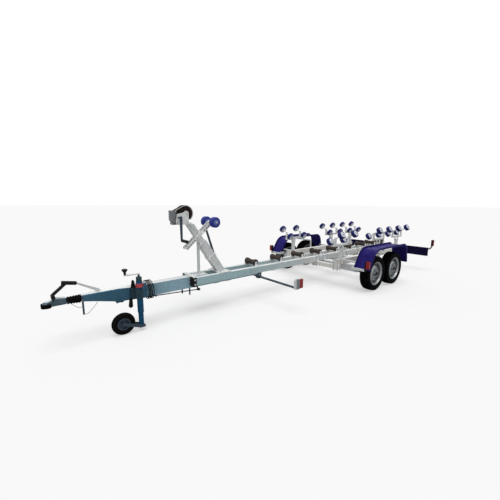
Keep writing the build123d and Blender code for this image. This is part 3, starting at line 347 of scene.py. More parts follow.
# Faces of a CAD piece in another finish, chosen by where their middles lie and how they face
faceFinish = {
    "stays": [("darkSteel", lambda p, n: p.x > at(3.0) and p.z < 0.365)],
    "bow_arm": [("darkSteel", lambda p, n: abs(p.y) < 0.0085)],
    "winch_frame": [("coverGrey", lambda p, n: p.x > at(1.2535))],
    "winch_post": [("paleZinc", lambda p, n: 0.2205 < upPost(p) < 0.2675)],
    # on the housing, the drawbar and the coupling head, the paler finish on faces that look up is a painted
    # lit top
    "overrun_housing": [("darkSteel", lambda p, n: p.x > at(0.3225)), ("paleZinc", lambda p, n: n.z > 0.9)],
    "drawbar_tube": [("galvanised", lambda p, n: n.z > 0.9)],
    "coupling_head": [("galvanised", lambda p, n: n.z > 0.88)],
    "coupling_handle": [("headGrey", lambda p, n: p.z < 0.456)],
    "lamp_bodies": [("coverGrey", lambda p, n: p.x > at(3.0)),
                    ("lensDark", lambda p, n: p.x < at(5.0) and p.z > 0.53)],
    "bow_rollers": [("bowPale", lambda p, n: math.hypot(p.x - at(1.718), p.z - 1.072) < 0.036)],
    "jockey_clamp": [("housingGrey", lambda p, n: p.x < at(0.83))],
    "jockey_crank": [("paleZinc", lambda p, n: p.z > 0.588)],
    "junction_clamp": [("galvanised", lambda p, n: p.z > 0.4545)],
}


def rimFaces(station):  # painted shade on the deep ring of the dish, painted highlight on the lip and the raised ring
    def reach(p):
        return math.hypot(p.x - at(station), p.z - tyreRadius)

    return [("rimShade", lambda p, n: 0.1185 < reach(p) < 0.153),
            ("rimPaintedHighlight", lambda p, n: reach(p) > 0.157 or 0.09 < reach(p) < 0.1175)]


for rimPlace, rimStation in wheelStations.items():
    for hand in ("left", "right"):
        faceFinish[f"rim_{rimPlace}_{hand}"] = rimFaces(rimStation)


sharpAngle = 31
cadWeld = 0.00002
meshWeld = 0.00001


def geometryTree(name, **sockets):  # a mesh in and out, and one more input for each name given
    tree = bpy.data.node_groups.new(name, "GeometryNodeTree")
    for label, kind in {"Geometry": "Geometry", **sockets}.items():
        tree.interface.new_socket(label, in_out="INPUT", socket_type="NodeSocket" + kind)
    tree.interface.new_socket("Geometry", in_out="OUTPUT", socket_type="NodeSocketGeometry")
    return tree


def buildSmoothTree():  # welds a CAD mesh and shades its rounds smooth
    tree = geometryTree("smoothRounds", Angle="Float")
    nodes, links = tree.nodes, tree.links
    start, end = nodes.new("NodeGroupInput"), nodes.new("NodeGroupOutput")
    weld = addNode(nodes, "GeometryNodeMergeByDistance", {"Distance": cadWeld})
    faces = addNode(nodes, "GeometryNodeSetShadeSmooth", domain="FACE")
    edges = addNode(nodes, "GeometryNodeSetShadeSmooth", {"Shade Smooth": False}, domain="EDGE")
    angle = nodes.new("GeometryNodeInputMeshEdgeAngle")
    compare = addNode(nodes, "FunctionNodeCompare", data_type="FLOAT", operation="GREATER_THAN")
    links.new(angle.outputs["Unsigned Angle"], compare.inputs[0])
    links.new(start.outputs["Angle"], compare.inputs[1])
    links.new(start.outputs["Geometry"], weld.inputs[0])
    links.new(weld.outputs[0], faces.inputs["Geometry"])
    links.new(faces.outputs[0], edges.inputs["Geometry"])
    links.new(compare.outputs[0], edges.inputs["Selection"])
    links.new(edges.outputs[0], end.inputs[0])
    return tree


def setInput(modifier, name, value):
    for item in modifier.node_group.interface.items_tree:
        if item.name == name and item.in_out == "INPUT":
            modifier[item.identifier] = value


smoothTree = buildSmoothTree()
for name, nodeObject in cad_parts.items():
    finish = nodeFinish.get(name) or next(f for start, f in groupFinish.items() if name.startswith(start))
    nodeObject.data.materials.clear()
    nodeObject.data.materials.append(materials[finish])
    smooth = nodeObject.modifiers.new("smoothRounds", "NODES")
    smooth.node_group = smoothTree
    setInput(smooth, "Angle", math.radians(sharpAngle))
    for count, (other, chosen) in enumerate(faceFinish.get(name, ())):
        nodeObject.data.materials.append(materials[other])
        for face in nodeObject.data.polygons:
            if chosen(nodeObject.matrix_world @ face.center, face.normal):
                face.material_index = count + 1
print("frame nodes dressed:", len(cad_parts))


def linkMesh(name, mesh, finish, smoothAngle=sharpAngle):
    made = linkObject(name, mesh)
    if not mesh.materials:
        mesh.materials.append(materials[finish])
    mesh.shade_smooth()
    mesh.set_sharp_from_angle(angle=math.radians(smoothAngle))
    return made


def meshFrom(name, verts, faces):
    mesh = bpy.data.meshes.new(name)
    mesh.from_pydata(verts, [], faces)
    work = bmesh.new()
    work.from_mesh(mesh)
    bmesh.ops.remove_doubles(work, verts=work.verts, dist=meshWeld)
    bmesh.ops.recalc_face_normals(work, faces=work.faces)
    work.to_mesh(mesh)
    work.free()
    return mesh


def latheParts(profile, centre, axis, count, closed=False):  # profile rows: along the axis, radius
    axis = Vector(axis).normalized()
    across = axis.orthogonal().normalized()
    other = axis.cross(across)
    verts, faces = [], []
    for step in range(count):
        turn = 2 * math.pi * step / count
        spoke = math.cos(turn) * across + math.sin(turn) * other
        for along, radius in profile:
            verts.append(Vector(centre) + axis * along + spoke * radius)
    width = len(profile)
    for step in range(count):
        for k in range(width if closed else width - 1):
            a = step * width + k
            b = step * width + (k + 1) % width
            c = (step + 1) % count * width + (k + 1) % width
            d = (step + 1) % count * width + k
            faces.append((a, b, c, d))
    return verts, faces


def latheMesh(name, profile, centre, axis, count, finish, closed=False, smoothAngle=sharpAngle):
    mesh = meshFrom(name, *latheParts(profile, centre, axis, count, closed))
    return linkMesh(name, mesh, finish, smoothAngle)


def boxParts(low, high, bevel):
    work = bmesh.new()
    bmesh.ops.create_cube(work, size=1)
    for vert in work.verts:
        vert.co = [low[i] + (vert.co[i] + 0.5) * (high[i] - low[i]) for i in range(3)]
    bmesh.ops.bevel(work, geom=list(work.edges), offset=bevel, segments=2, affect="EDGES", profile=0.5)
    verts = [v.co.copy() for v in work.verts]
    work.verts.index_update()
    faces = [tuple(v.index for v in f.verts) for f in work.faces]
    work.free()
    return verts, faces


def joined(parts):
    verts, faces = [], []
    for partVerts, partFaces in parts:
        start = len(verts)
        verts.extend(partVerts)
        faces.extend(tuple(start + i for i in face) for face in partFaces)
    return verts, faces


# What each point of a scattered mesh carries besides its place
pointColumns = {"facing": "FLOAT_VECTOR", "along": "FLOAT_VECTOR", "size": "FLOAT"}


# Node tree: places a small block or bolt on every point of a mesh, turned to the point's "facing"
def buildScatterTree(name, makeShape):
    tree = geometryTree(name, Radius="Float", Height="Float", Width="Float", Length="Float",
                        Finish="Material")
    nodes, links = tree.nodes, tree.links
    start, end = nodes.new("NodeGroupInput"), nodes.new("NodeGroupOutput")
    shape = makeShape(nodes, links, start)

    def column(label):
        kind = pointColumns[label]
        made = addNode(nodes, "GeometryNodeInputNamedAttribute", {"Name": label}, data_type=kind)
        return made.outputs["Attribute"]

    turn = addNode(nodes, "FunctionNodeAlignRotationToVector", axis="Z")
    links.new(column("facing"), turn.inputs["Vector"])
    twist = addNode(nodes, "FunctionNodeAlignRotationToVector", axis="X", pivot_axis="Z")
    links.new(turn.outputs[0], twist.inputs["Rotation"])
    links.new(column("along"), twist.inputs["Vector"])
    place = nodes.new("GeometryNodeInstanceOnPoints")
    links.new(start.outputs["Geometry"], place.inputs["Points"])
    links.new(shape, place.inputs["Instance"])
    links.new(twist.outputs[0], place.inputs["Rotation"])
    links.new(column("size"), place.inputs["Scale"])
    real = nodes.new("GeometryNodeRealizeInstances")
    links.new(place.outputs[0], real.inputs[0])
    paint = nodes.new("GeometryNodeSetMaterial")
    links.new(real.outputs[0], paint.inputs["Geometry"])
    links.new(start.outputs["Finish"], paint.inputs["Material"])
    links.new(paint.outputs[0], end.inputs[0])
    return tree


# Washer, hexagon head and stub of the thread: sides, radius, low, high, as shares of Radius and Height
boltSteps = ((20, 1.35, 0.0, 0.18), (6, 1.0, 0.18, 0.85), (12, 0.5, 0.85, 1.15))


def boltShape(nodes, links, start):  # stands on z = 0
    def times(socket, factor):
        made = addNode(nodes, "ShaderNodeMath", {1: factor}, operation="MULTIPLY")
        links.new(start.outputs[socket], made.inputs[0])
        return made.outputs[0]

    pieces = nodes.new("GeometryNodeJoinGeometry")
    for sides, radius, low, high in boltSteps:
        ring = addNode(nodes, "GeometryNodeMeshCylinder", {"Vertices": sides})
        links.new(times("Radius", radius), ring.inputs["Radius"])
        links.new(times("Height", high - low), ring.inputs["Depth"])
        spot = nodes.new("ShaderNodeCombineXYZ")
        links.new(times("Height", (high + low) / 2), spot.inputs["Z"])
        move = nodes.new("GeometryNodeTransform")
        links.new(ring.outputs["Mesh"], move.inputs["Geometry"])
        links.new(spot.outputs[0], move.inputs["Translation"])
        links.new(move.outputs[0], pieces.inputs[0])
    return pieces.outputs[0]


def blockShape(nodes, links, start):  # a block on z = 0: Length along the run, Width across, Height up
    block = nodes.new("GeometryNodeMeshCube")
    extent = nodes.new("ShaderNodeCombineXYZ")
    links.new(start.outputs["Length"], extent.inputs["X"])
    links.new(start.outputs["Width"], extent.inputs["Y"])
    links.new(start.outputs["Height"], extent.inputs["Z"])
    links.new(extent.outputs[0], block.inputs["Size"])
    return block.outputs["Mesh"]


boltTree = buildScatterTree("boltHeads", boltShape)
blockTree = buildScatterTree("blocksOnPoints", blockShape)


# Points are rows of place, facing, along and size
def scatter(name, tree, points, finish, body, **sizes):
    mesh = bpy.data.meshes.new(name + "Points")
    mesh.from_pydata([p[0] for p in points], [], [])
    for column, (label, kind) in enumerate(pointColumns.items(), 1):
        attribute = mesh.attributes.new(label, kind, "POINT")
        field = "value" if kind == "FLOAT" else "vector"
        for spot, row in zip(attribute.data, points):
            setattr(spot, field, row[column])
    host = linkObject(name + "Host", mesh)
    modifier = host.modifiers.new("scatter", "NODES")
    modifier.node_group = tree
    for key, value in sizes.items():
        setInput(modifier, key, value)
    setInput(modifier, "Finish", materials[finish])
    graph = bpy.context.evaluated_depsgraph_get()
    result = bpy.data.meshes.new_from_object(host.evaluated_get(graph))
    bpy.data.objects.remove(host)
    result.name = name
    made = linkMesh(name, result, finish)
    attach(made, body)
    return made


# The wiring lead: out of its gland, four loose turns round the drawbar, then forward into its plug
leadSettings = {
    "diameter": 0.009,
    "gland": (at(0.958), -0.062, 0.381),
    "centreZ": 0.381,
    "turnRadius": 0.1,
    "firstStation": 0.967,
    "lastStation": 0.901,
    "turns": 4,
    "pointsPerTurn": 16,
    "leave": ((0, -0.012, 0), (-0.002, -0.026, -0.005), (-0.004, -0.036, -0.018), (-0.006, -0.038, -0.037)),
    "arrive": ((at(0.8985), -0.099, 0.366), (at(0.889), -0.096, 0.3505), (at(0.866), -0.092, 0.345)),
    "plug": (at(0.838), -0.092, 0.345),
    "sway": 0.0016,
    "stationPlay": 0.0006,
    "radiusPlay": 0.0012,
    "length": 2.58,
}


def curveLine(name, points, diameter, finish):
    data = bpy.data.curves.new(name, "CURVE")
    data.dimensions = "3D"
    data.bevel_depth = diameter / 2
    data.bevel_resolution = 4
    data.resolution_u = 6
    data.use_fill_caps = True
    line = data.splines.new("NURBS")
    line.points.add(len(points) - 1)
    for point, place in zip(line.points, points):
        point.co = (*place, 1)
    line.order_u = 3
    line.use_endpoint_u = True
    data.materials.append(materials[finish])
    return linkObject(name, data)


def buildLead():
    s = leadSettings
    rng = random.Random(4)
    points = [s["gland"]] + [tuple(g + d for g, d in zip(s["gland"], step)) for step in s["leave"]]
    total = s["turns"] * s["pointsPerTurn"]
    for k in range(2, total + 1):
        turn = math.pi + 2 * math.pi * k / s["pointsPerTurn"]
        share = k / total
        sway = s["sway"] * math.sin(turn * 1.3) + rng.uniform(-s["stationPlay"], s["stationPlay"])
        station = s["firstStation"] + share * (s["lastStation"] - s["firstStation"]) + sway
        radius = s["turnRadius"] + rng.uniform(-s["radiusPlay"], s["radiusPlay"])
        points.append((at(station), radius * math.cos(turn), s["centreZ"] + radius * math.sin(turn)))
    points += [*s["arrive"], s["plug"]]
    return curveLine("wiringLead", points, s["diameter"], "blackRubber")


lead = buildLead()
plugSettings = {"pinRings": ((0.0115, 9, 0), (0.005, 4, 9)), "pinRadius": 0.0012, "pinAhead": 0.059}
plugProfile = [
    (0.0, 0.0048), (0.0, 0.0085), (0.004, 0.0095), (0.012, 0.0115), (0.016, 0.0118), (0.017, 0.019),
    (0.020, 0.021), (0.026, 0.021), (0.027, 0.0195), (0.031, 0.0195), (0.032, 0.021), (0.038, 0.021),
    (0.039, 0.0195), (0.043, 0.0195), (0.044, 0.021), (0.066, 0.021), (0.068, 0.0196), (0.068, 0.0165),
    (0.060, 0.0165), (0.060, 0.0),
]
pinParts = []
pinProfile = [(0, 0.0), (0, plugSettings["pinRadius"]), (0.007, plugSettings["pinRadius"]), (0.008, 0.0)]
for ring, count, first in plugSettings["pinRings"]:
    for k in range(first, first + count):
        turn = 2 * math.pi * k / count
        spot = Vector((plugSettings["pinAhead"], ring * math.cos(turn), ring * math.sin(turn)))
        pinParts.append(latheParts(pinProfile, Vector(leadSettings["plug"]) + spot, (1, 0, 0), 8))
plug = linkMesh("leadPlug", meshFrom("leadPlug", *joined(
    [latheParts(plugProfile, leadSettings["plug"], (1, 0, 0), 32),
     boxParts((at(0.818), -0.096, 0.363), (at(0.776), -0.088, 0.371), 0.0015)] + pinParts)), "blackPlastic")
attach(plug, "frame")
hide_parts("trailer_plug")
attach(lead, "frame")
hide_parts("cable_coil")

breakawayRuns = {
    "breakawayFront": {
        "length": 0.155,
        "points": ((at(0.186), 0.036, 0.42), (at(0.224), 0.04, 0.392), (at(0.273), 0.042, 0.335),
                   (at(0.307), 0.0403, 0.342))},
    "breakawayRear": {
        "length": 0.157,
        "points": ((at(0.3234), 0.034, 0.266), (at(0.345), 0.034, 0.252), (at(0.43), 0.034, 0.35),
                   (at(0.437), 0.03, 0.361))},
}
for name, run in breakawayRuns.items():
    line = curveLine(name, run["points"], 0.004, "darkSteel")
    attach(line, "frame")
    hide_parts("breakaway_cable")
print("lead, plug and breakaway cable")

# Road wheels: carcass with rounded sidewalls, tread blocks, wheel nuts, hub cap and valve
wheelSettings = {
    "places": wheelStations,
    "radius": tyreRadius,
    "groove": 0.0065,
    "outerY": 0.965,
    "width": 0.145,
    "beadRadius": 0.1763,
    "treadRows": ((-0.0485, 66), (-0.0245, 72), (0.0, 72), (0.0245, 72), (0.0485, 66)),
    "shoulderY": 0.04,
    "shoulderDrop": 0.0035,
    "shoulderTilt": 0.16,
    "blockSlant": 0.35,
    "blockSize": 0.0185,
    "nutRing": 0.056,
    "nutRadius": 0.0098,
}


def tyreProfile(s):
    half = s["width"] / 2
    base = s["radius"] - s["groove"]
    bead = s["beadRadius"]
    side = [
        (-half + 0.012, bead), (-half + 0.006, bead + 0.003), (-half + 0.0045, bead + 0.012),
        (-half + 0.0015, bead + 0.018), (-half + 0.0012, bead + 0.024), (-half, bead + 0.032),
        (-half + 0.0012, bead + 0.046), (-half + 0.0035, bead + 0.056), (-half + 0.0032, bead + 0.060),
        (-half + 0.006, bead + 0.066), (-half + 0.011, base - 0.006), (-half + 0.019, base - 0.0015),
        (-half + 0.03, base),
    ]
    return side + [(-x, r) for x, r in reversed(side)]


def buildTyre(name, body, node, centre, side):
    s = wheelSettings
    carcass = latheMesh(name, tyreProfile(s), centre, (0, side, 0), 96, "tyreRubber", True, 40)
    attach(carcass, body)
    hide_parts(node)
    points = []
    for row, (offset, count) in enumerate(s["treadRows"]):
        for k in range(count):
            turn = 2 * math.pi * (k + 0.5 * (row % 2)) / count
            out = Vector((math.cos(turn), 0, math.sin(turn)))
            shoulder = abs(offset) > s["shoulderY"]
            drop = s["shoulderDrop"] if shoulder else 0.0
            foot = Vector(centre) + out * (s["radius"] - 0.011 - drop) + Vector((0, offset, 0))
            tilt = math.copysign(s["shoulderTilt"], offset) if shoulder else 0
            facing = (out + Vector((0, tilt, 0))).normalized()
            slant = s["blockSlant"] if row % 2 else -s["blockSlant"]
            along = Vector((-math.sin(turn), slant, math.cos(turn)))
            points.append((foot + facing * 0.0052, facing, along, 1.0))
    tread = scatter(name + "Tread", blockTree, points, "tyreRubber", body,
                    Height=0.0105, Width=s["blockSize"], Length=s["blockSize"])


def buildWheelTrim(name, body, centre, side):
    s = wheelSettings
    face = Vector((0, side, 0))
    nutPlane = Vector(centre) + face * (s["width"] / 2 - 0.0265)
    points = []
    for k in range(5):
        turn = 2 * math.pi * k / 5 + 0.3
        out = Vector((math.cos(turn), 0, math.sin(turn)))
        points.append((nutPlane + out * s["nutRing"], face, out, 1.0))
    nuts = scatter(name + "Nuts", boltTree, points, "brightSteel", body, Radius=s["nutRadius"], Height=0.014)
    cap = [(-0.002, 0.0), (-0.002, 0.0315), (0.0, 0.0325), (0.006, 0.0325), (0.0075, 0.030), (0.0155, 0.0285),
           (0.0185, 0.026), (0.0198, 0.018), (0.0198, 0.0)]
    capPlace = Vector(centre) + face * (s["width"] / 2 - 0.022)
    valve = [(0, 0.0), (0, 0.0055), (0.006, 0.0055), (0.008, 0.0035), (0.022, 0.0035), (0.0225, 0.0045),
             (0.031, 0.0045), (0.032, 0.0)]
    valvePlace = Vector(centre) + face * (s["width"] / 2 - 0.040) + Vector((0.148, 0, 0.05))
    made = linkMesh(name + "Hub", meshFrom(name + "Hub", *joined(
        [latheParts(cap, capPlace, face, 32), latheParts(valve, valvePlace, face, 12)])), "blackPaint")
    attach(made, body)


for place, station in wheelSettings["places"].items():
    for hand, side in (("left", 1), ("right", -1)):
        middle = wheelSettings["outerY"] - wheelSettings["width"] / 2
        centre = (at(station), side * middle, wheelSettings["radius"])
        body = f"wheel_{place}_{hand}"
        buildTyre(f"roadTyre_{place}_{hand}", body, f"tyre_{place}_{hand}", centre, side)
        buildWheelTrim(f"wheel_{place}_{hand}", body, centre, side)
print("road wheels")

# Jockey wheel: solid ribbed tyre
jackSettings = {"centre": (at(0.633), 0.115, 0.111), "radius": 0.111, "width": 0.056, "inner": 0.0623}
half = jackSettings["width"] / 2
jackProfile = [(-half + 0.004, jackSettings["inner"]), (-half, 0.069), (-half, 0.086), (-half + 0.003, 0.098),
               (-half + 0.009, 0.1065), (-half + 0.014, 0.1095), (-0.0105, 0.1105), (-0.009, 0.108),
               (-0.006, 0.108), (-0.0045, jackSettings["radius"]), (0.0, jackSettings["radius"])]
jackProfile += [(-x, r) for x, r in reversed(jackProfile[:-1])]
jackTyre = latheMesh("jackTyre", jackProfile, jackSettings["centre"], (0, 1, 0), 72, "blackRubber", True, 40)
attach(jackTyre, "jack_wheel")
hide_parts("jockey_tyre")

# Bellows: smooth folds along the slightly falling draw shaft
bellowsSettings = {
    "front": (at(0.188), 0, 0.416),
    "rear": (at(0.3067), 0, 0.414),
    "folds": 5,
    "stepsPerFold": 14,
    "frontCrest": 0.0343,
    "crestGrowth": 0.0057,
    "foldDepth": 0.0085,
}


def buildBellows():
    s = bellowsSettings
    start, end = Vector(s["front"]), Vector(s["rear"])
    length = (end - start).length
    profile = [(0.0015, 0.0), (0.0015, 0.024)]
    total = s["folds"] * s["stepsPerFold"]
    for k in range(total + 1):
        share = k / total
        crest = s["frontCrest"] + s["crestGrowth"] * share
        fold = abs(math.sin(math.pi * share * s["folds"]))
        profile.append((0.004 + share * (length - 0.008), crest - s["foldDepth"] * (1 - fold ** 0.55)))
    profile += [(length - 0.0015, 0.029), (length - 0.0015, 0.0)]
    made = latheMesh("ribbedBellows", profile, start, end - start, 64, "blackRubber", False, 50)
    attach(made, "frame")
    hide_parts("bellows")


buildBellows()

# Hull rollers: rounded drums with shallow grooves and a hub on both ends
rollerSettings = {
    "stations": {"front": 3.75, "middle": 4.89, "rear": 5.6},
    "halfLength": 0.175,
    "inner": (0.410, 0.720),
    "outer": (0.600, 0.835),
    "radius": 0.060,
    "width": 0.060,
    "bore": 0.0094,
    "corner": 0.014,
    "highlightPoints": 4,
    "nutPlace": 0.0312,
}


def rollerProfile(s):
    half, radius, bore, corner = s["width"] / 2, s["radius"], s["bore"], s["corner"]
    side = [(-half + 0.004, bore), (-half - 0.001, bore + 0.004), (-half - 0.001, 0.0185),
            (-half + 0.0045, 0.021), (-half + 0.0045, radius - 0.0155), (-half + 0.002, radius - 0.0135)]
    for k in range(5):
        turn = math.pi / 2 * k / 4
        side.append((-half + corner - corner * math.cos(turn), radius - corner + corner * math.sin(turn)))
    side += [(-half * 0.34, radius), (-half * 0.30, radius - 0.002), (-half * 0.18, radius - 0.002),
             (-half * 0.14, radius)]
    return side + [(-x, r) for x, r in reversed(side)]


hullProfile = rollerProfile(rollerSettings)
for place, station in rollerSettings["stations"].items():
    for hand, side in (("left", 1), ("right", -1)):
        inner, outer = rollerSettings["inner"], rollerSettings["outer"]
        axis = Vector((0, side * (outer[0] - inner[0]), outer[1] - inner[1])).normalized()
        parts = []
        for end in (-1, 1):
            for y, z in (inner, outer):
                centre = (at(station + end * rollerSettings["halfLength"]), side * y, z)
                parts.append(latheParts(hullProfile, centre, axis, 40, True))
        name = f"hullRollers_{place}_{hand}"
        made = linkMesh(name, meshFrom(name, *joined(parts)), "rollerBlue", 35)
        # the end faces round the bore take the paler finish, a painted highlight
        made.data.materials.append(materials["rollerPaintedHighlight"])
        for face in made.data.polygons:
            step = face.index % len(hullProfile)
            face.material_index = int(min(step, len(hullProfile) - 2 - step) < rollerSettings["highlightPoints"])
        body = f"rocker_{place}_{hand}"
        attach(made, body)
        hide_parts(f"hull_rollers_{place}_{hand}")
        ends = []
        for end in (-1, 1):
            for (y, z), sign in ((inner, -1), (outer, 1)):
                centre = Vector((at(station + end * rollerSettings["halfLength"]), side * y, z))
                spot = centre + axis * sign * rollerSettings["nutPlace"]
                ends.append((spot, axis * sign, Vector((1, 0, 0)), 1.0))
        nuts = scatter(f"rollerNuts_{place}_{hand}", boltTree, ends, "brightSteel", body,
                       Radius=0.0085, Height=0.01)
print("jockey tyre, bellows, hull rollers")

# Winch: toothed wheel and pinion, the strap's wound layers, and the webbing over the guard
winchSettings = {
    "drum": (at(1.385), 0, 1.181),
    "crank": (at(1.278), 0, 1.140),
    "gearRadius": 0.092,
    "gearTeeth": 68,
    "pinionRadius": 0.022,
    "pinionTeeth": 16,
    "gearY": (-0.052, -0.044),
    "strapRadius": 0.079,
    "strapHalf": 0.027,
    "strapLayer": 0.0024,
    "strapInner": 0.0245,
    "guardRadius": 0.0908,
    "guardFrom": 78,
    "guardSweep": 152,
    "guardSteps": 32,
    "guardHalf": 0.029,
    "webbing": 0.002,
}


def gearTeeth(name, centre, radius, count, body, depth=0.0052):
    low, high = winchSettings["gearY"]
    points = []
    for k in range(count):
        turn = 2 * math.pi * k / count
        out = Vector((math.cos(turn), 0, math.sin(turn)))
        place = Vector(centre) + out * (radius - depth / 2 - 0.0003) + Vector((0, (low + high) / 2, 0))
        points.append((place, out, Vector((-math.sin(turn), 0, math.cos(turn))), 1.0))
    pitch = 2 * math.pi * radius / count
    made = scatter(name, blockTree, points, "brightSteel", body,
                   Height=depth, Width=high - low, Length=pitch * 0.5)


def buildWinch():
    s = winchSettings
    low, high = s["gearY"]
    rim = s["gearRadius"] - 0.005
    drumProfile = [
        (-0.063, 0.0), (-0.063, 0.01), (low, 0.01), (low, 0.026), (low + 0.001, 0.030), (low + 0.001, 0.070),
        (low, 0.074), (low, rim), (high, rim), (high, 0.074), (high - 0.001, 0.070), (high - 0.001, 0.030),
        (high, 0.024), (0.036, 0.024), (0.036, 0.029), (0.0375, 0.03), (0.0405, 0.03), (0.042, 0.029),
        (0.042, 0.024), (0.052, 0.024), (0.052, 0.01), (0.063, 0.01), (0.063, 0.0),
    ]
    drum = latheMesh("winchDrum", drumProfile, s["drum"], (0, 1, 0), 72, "brightSteel")
    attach(drum, "strap_drum")
    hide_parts("winch_drum")
    gearTeeth("winchGearTeeth", s["drum"], s["gearRadius"], s["gearTeeth"], "strap_drum")
    gearTeeth("winchPinionTeeth", s["crank"], s["pinionRadius"] + 0.0003, s["pinionTeeth"], "crank", 0.0046)

    layers = int((s["strapRadius"] - s["strapInner"]) / s["strapLayer"])
    side = []
    for k in range(layers):
        inner = s["strapInner"] + k * s["strapLayer"]
        sway = 0.0011 * math.sin(k * 2.3)
        side += [(s["strapHalf"] - 0.0016 + sway * 0.5, inner),
                 (s["strapHalf"] - 0.0004 + sway * 0.5, inner + 0.0006),
                 (s["strapHalf"] - 0.0004 + sway * 0.5, inner + s["strapLayer"] - 0.0005)]
    profile = [(-x, r) for x, r in side] + [(-s["strapHalf"] + 0.001, s["strapRadius"]),
                                            (s["strapHalf"] - 0.001, s["strapRadius"])] + side[::-1]
    roll = latheMesh("strapRoll", profile, s["drum"], (0, 1, 0), 72, "strapBrown", True, 50)
    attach(roll, "strap_drum")
    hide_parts("strap_roll")

    band = [(at(1.2502), 1.2127), (at(1.30), 1.2368)]
    reach = s["guardRadius"]
    for k in range(s["guardSteps"] + 1):
        turn = math.radians(s["guardFrom"] + s["guardSweep"] * k / s["guardSteps"])
        band.append((s["drum"][0] + reach * math.cos(turn), s["drum"][2] + reach * math.sin(turn)))
    verts, faces = [], []
    for x, z in band:
        verts += [(x, -s["guardHalf"], z), (x, s["guardHalf"], z)]
    for k in range(len(band) - 1):
        faces.append((2 * k, 2 * k + 1, 2 * k + 3, 2 * k + 2))
    webbing = linkMesh("guardWebbing", meshFrom("guardWebbing", verts, faces), "strapBrown", 60)
    thick = webbing.modifiers.new("thickness", "SOLIDIFY")
    thick.thickness = s["webbing"]
    thick.offset = 0
    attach(webbing, "frame")


buildWinch()

# Fastenings on the frame: radius, height and spots. A spot is station, y, z and facing, put on both sides
bogieStations = tuple(rollerSettings["stations"].values())
boltGroups = {
    "keelPinNuts": (0.0088, 0.010, [
        (s, 0.117, 0.5, (0, 1, 0)) for s in (2.36, 2.84, 3.3, 3.76, 4.22, 4.7, 5.18, 5.54, 5.91)]),
    "bogiePinNuts": (0.0098, 0.011, [
        (s, 0.5 + d * 0.033, 0.67, (0, d, 0)) for s in bogieStations for d in (-1, 1)]),
    "bogieFootBolts": (0.0062, 0.008, [
        (s + a * 0.032, 0.5 + b * 0.0195, 0.458, (0, 0, 1))
        for s in bogieStations for a in (-1, 1) for b in (-1, 1)]),
    "postFootBolts": (0.0088, 0.011, [
        (s, 0.108, 0.46, (0, 0, 1)) for s in (1.785, 1.915)]),
    "postCollarBolts": (0.008, 0.010, [
        (1.693, 0.053, 0.642, (0, 1, 0)), (1.725, 0.053, 0.664, (0, 1, 0))]),
    "bowArmNuts": (0.0085, 0.010, [
        (1.718, 0.14, 1.072, (0, 1, 0)), (1.388, 0.0463, 0.786, (0, 1, 0)), (1.648, 0.0443, 1.011, (0, 1, 0)),
        (1.515, 0.0413, 0.896, (0, 1, 0))]),
    "winchBolts": (0.0068, 0.008, [
        (1.392, 0.06, 1.085, (0, 1, 0)), (1.27, 0.06, 1.085, (0, 1, 0)), (1.385, 0.063, 1.181, (0, 1, 0)),
        (1.35, 0.045, 1.071, (0, 0, 1)), (1.43, 0.045, 1.071, (0, 0, 1))]),
    "clampBolts": (0.0095, 0.012, [
        (1.42, 0.1395, z, (0, 1, 0)) for z in (0.37, 0.425)]),
    "fenderBolts": (0.0065, 0.007, [
        (4.288, 0.875, 0.625, (0, 0, 1)), (4.288, 0.935, 0.625, (0, 0, 1)), (3.98, 0.81, 0.625, (0, 0, 1)),
        (4.6, 0.81, 0.625, (0, 0, 1))]),
    "railClampBolts": (0.0085, 0.010, [
        (s, 0.1455, z, (0, 1, 0)) for s in (2.26, 2.315) for z in (0.375, 0.425)]),
    "markerBolts": (0.0068, 0.008, [
        (2.38, 0.1455, 0.338, (0, 1, 0)), (2.414, 0.1455, 0.338, (0, 1, 0))]),
    "boardBolts": (0.006, 0.005, [
        (5.99, y, z, (1, 0, 0)) for y in (0.28, 0.32, 0.70, 0.90) for z in (0.36, 0.40)]),
}
boltFinish = {"boardBolts": "blackPaint"}
for name, (radius, height, spots) in boltGroups.items():
    points = []
    for station, y, z, facing in spots:
        for side in (1, -1):
            turned = Vector((facing[0], side * facing[1], facing[2]))
            points.append((Vector((at(station), side * y, z)), turned, turned.orthogonal(), 1.0))
    made = scatter(name, boltTree, points, boltFinish.get(name, "brightSteel"), "frame",
                   Radius=radius, Height=height)

# Dark discs in the row of holes of the bow arm's bars: painted shade seen through the holes
armSettings = {
    "low": (1.388, 0.786),
    "high": (1.718, 1.072),
    "first": 0.022,
    "endsTogether": 0.06,
    "holes": 12,
    "radius": 0.0076,
    "face": 0.0412,
    "behindPost": (0.14, 0.27),
}


def buildArmHoleShade():
    s = armSettings
    run = Vector((s["high"][0] - s["low"][0], 0, s["high"][1] - s["low"][1]))
    pitch = (run.length - s["endsTogether"]) / (s["holes"] - 1)
    parts = []
    for hole in range(s["holes"]):
        along = run.normalized() * (s["first"] + hole * pitch)
        if s["behindPost"][0] < along.length < s["behindPost"][1]:
            continue
        x, z = at(s["low"][0] + along.x), s["low"][1] + along.z
        for side in (1, -1):
            profile = [(0.0, 0.0), (0.0, s["radius"]), (0.0015, s["radius"]), (0.002, 0.006), (0.002, 0.0)]
            parts.append(latheParts(profile, (x, side * s["face"], z), (0, side, 0), 20))
    shadeDiscs = linkMesh("armHoleShadeDiscs", meshFrom("armHoleShadeDiscs", *joined(parts)), "blackPlastic")
    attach(shadeDiscs, "frame")


buildArmHoleShade()

# U-bolts that clamp the cross members, the axle beams and the side beams
clampSettings = {"rod": 0.005, "corner": 0.012, "thread": 0.024, "plate": 0.006}
clampRows = [  # station, half spacing, inner y, outer y, top z, foot z
    *[(s, 0.036, 0.078, 0.1395, 0.450, 0.304) for s in (3.65, 4.89, 5.6)],
    *[(s, 0.051, 0.078, 0.1395, 0.450, 0.274) for s in (3.84, 4.416)],
    *[(s, 0.036, 0.470, 0.530, 0.450, 0.304) for s in (3.65, 4.89, 5.6)],
]


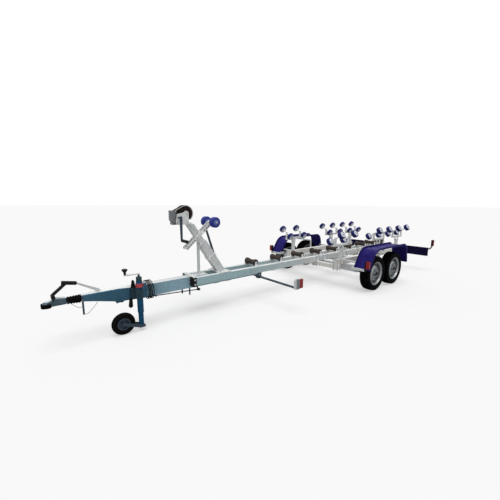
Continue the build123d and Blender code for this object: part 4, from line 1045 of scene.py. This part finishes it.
def buildClamps():
    rod, corner = clampSettings["rod"], clampSettings["corner"]
    thread, plate = clampSettings["thread"], clampSettings["plate"]
    quarter = [math.pi / 2 * k / 4 for k in range(5)]
    parts, nutPoints, plateParts = [], [], []
    for station, spacing, innerY, outerY, top, foot in clampRows:
        for side in (1, -1):
            for end in (-1, 1):
                x = at(station + end * spacing)
                left, right, high = innerY - rod, outerY + rod, top + rod
                flat, inside, outside = high - corner, left + corner, right - corner
                route = [(left, foot - thread)]
                route += [(inside - corner * math.cos(a), flat + corner * math.sin(a)) for a in quarter]
                route += [(outside + corner * math.sin(a), flat + corner * math.cos(a)) for a in quarter]
                route.append((right, foot - thread))
                parts.append(tubeParts([Vector((x, side * y, z)) for y, z in route], rod, 8))
                for y in (left, right):
                    down = Vector((0, 0, -1))
                    nutPoints.append((Vector((x, side * y, foot - plate)), down, Vector((1, 0, 0)), 1.0))
                ys = sorted((side * (left - 0.01), side * (right + 0.01)))
                near, far = (x - 0.012, ys[0], foot - plate), (x + 0.012, ys[1], foot - 0.0003)
                plateParts.append(boxParts(near, far, 0.001))
    made = linkMesh("clampRods", meshFrom("clampRods", *joined(parts)), "brightSteel", 50)
    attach(made, "frame")
    plates = linkMesh("clampPlates", meshFrom("clampPlates", *joined(plateParts)), "galvanised")
    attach(plates, "frame")
    nuts = scatter("clampNuts", boltTree, nutPoints, "brightSteel", "frame", Radius=0.0082, Height=0.010)


def tubeParts(route, radius, sides):
    verts, faces = [], []
    for k, place in enumerate(route):
        ahead = (route[min(k + 1, len(route) - 1)] - route[max(k - 1, 0)]).normalized()
        across = Vector((1, 0, 0)) if abs(ahead.x) < 0.9 else Vector((0, 1, 0))
        across = (across - ahead * across.dot(ahead)).normalized()
        other = ahead.cross(across)
        for step in range(sides):
            turn = 2 * math.pi * step / sides
            verts.append(place + (math.cos(turn) * across + math.sin(turn) * other) * radius)
    for k in range(len(route) - 1):
        for step in range(sides):
            a = k * sides + step
            b = k * sides + (step + 1) % sides
            faces.append((a, b, b + sides, a + sides))
    faces.append(tuple(range(sides))[::-1])
    faces.append(tuple(range((len(route) - 1) * sides, len(route) * sides)))
    return verts, faces


buildClamps()
print("winch, fastenings and clamps")
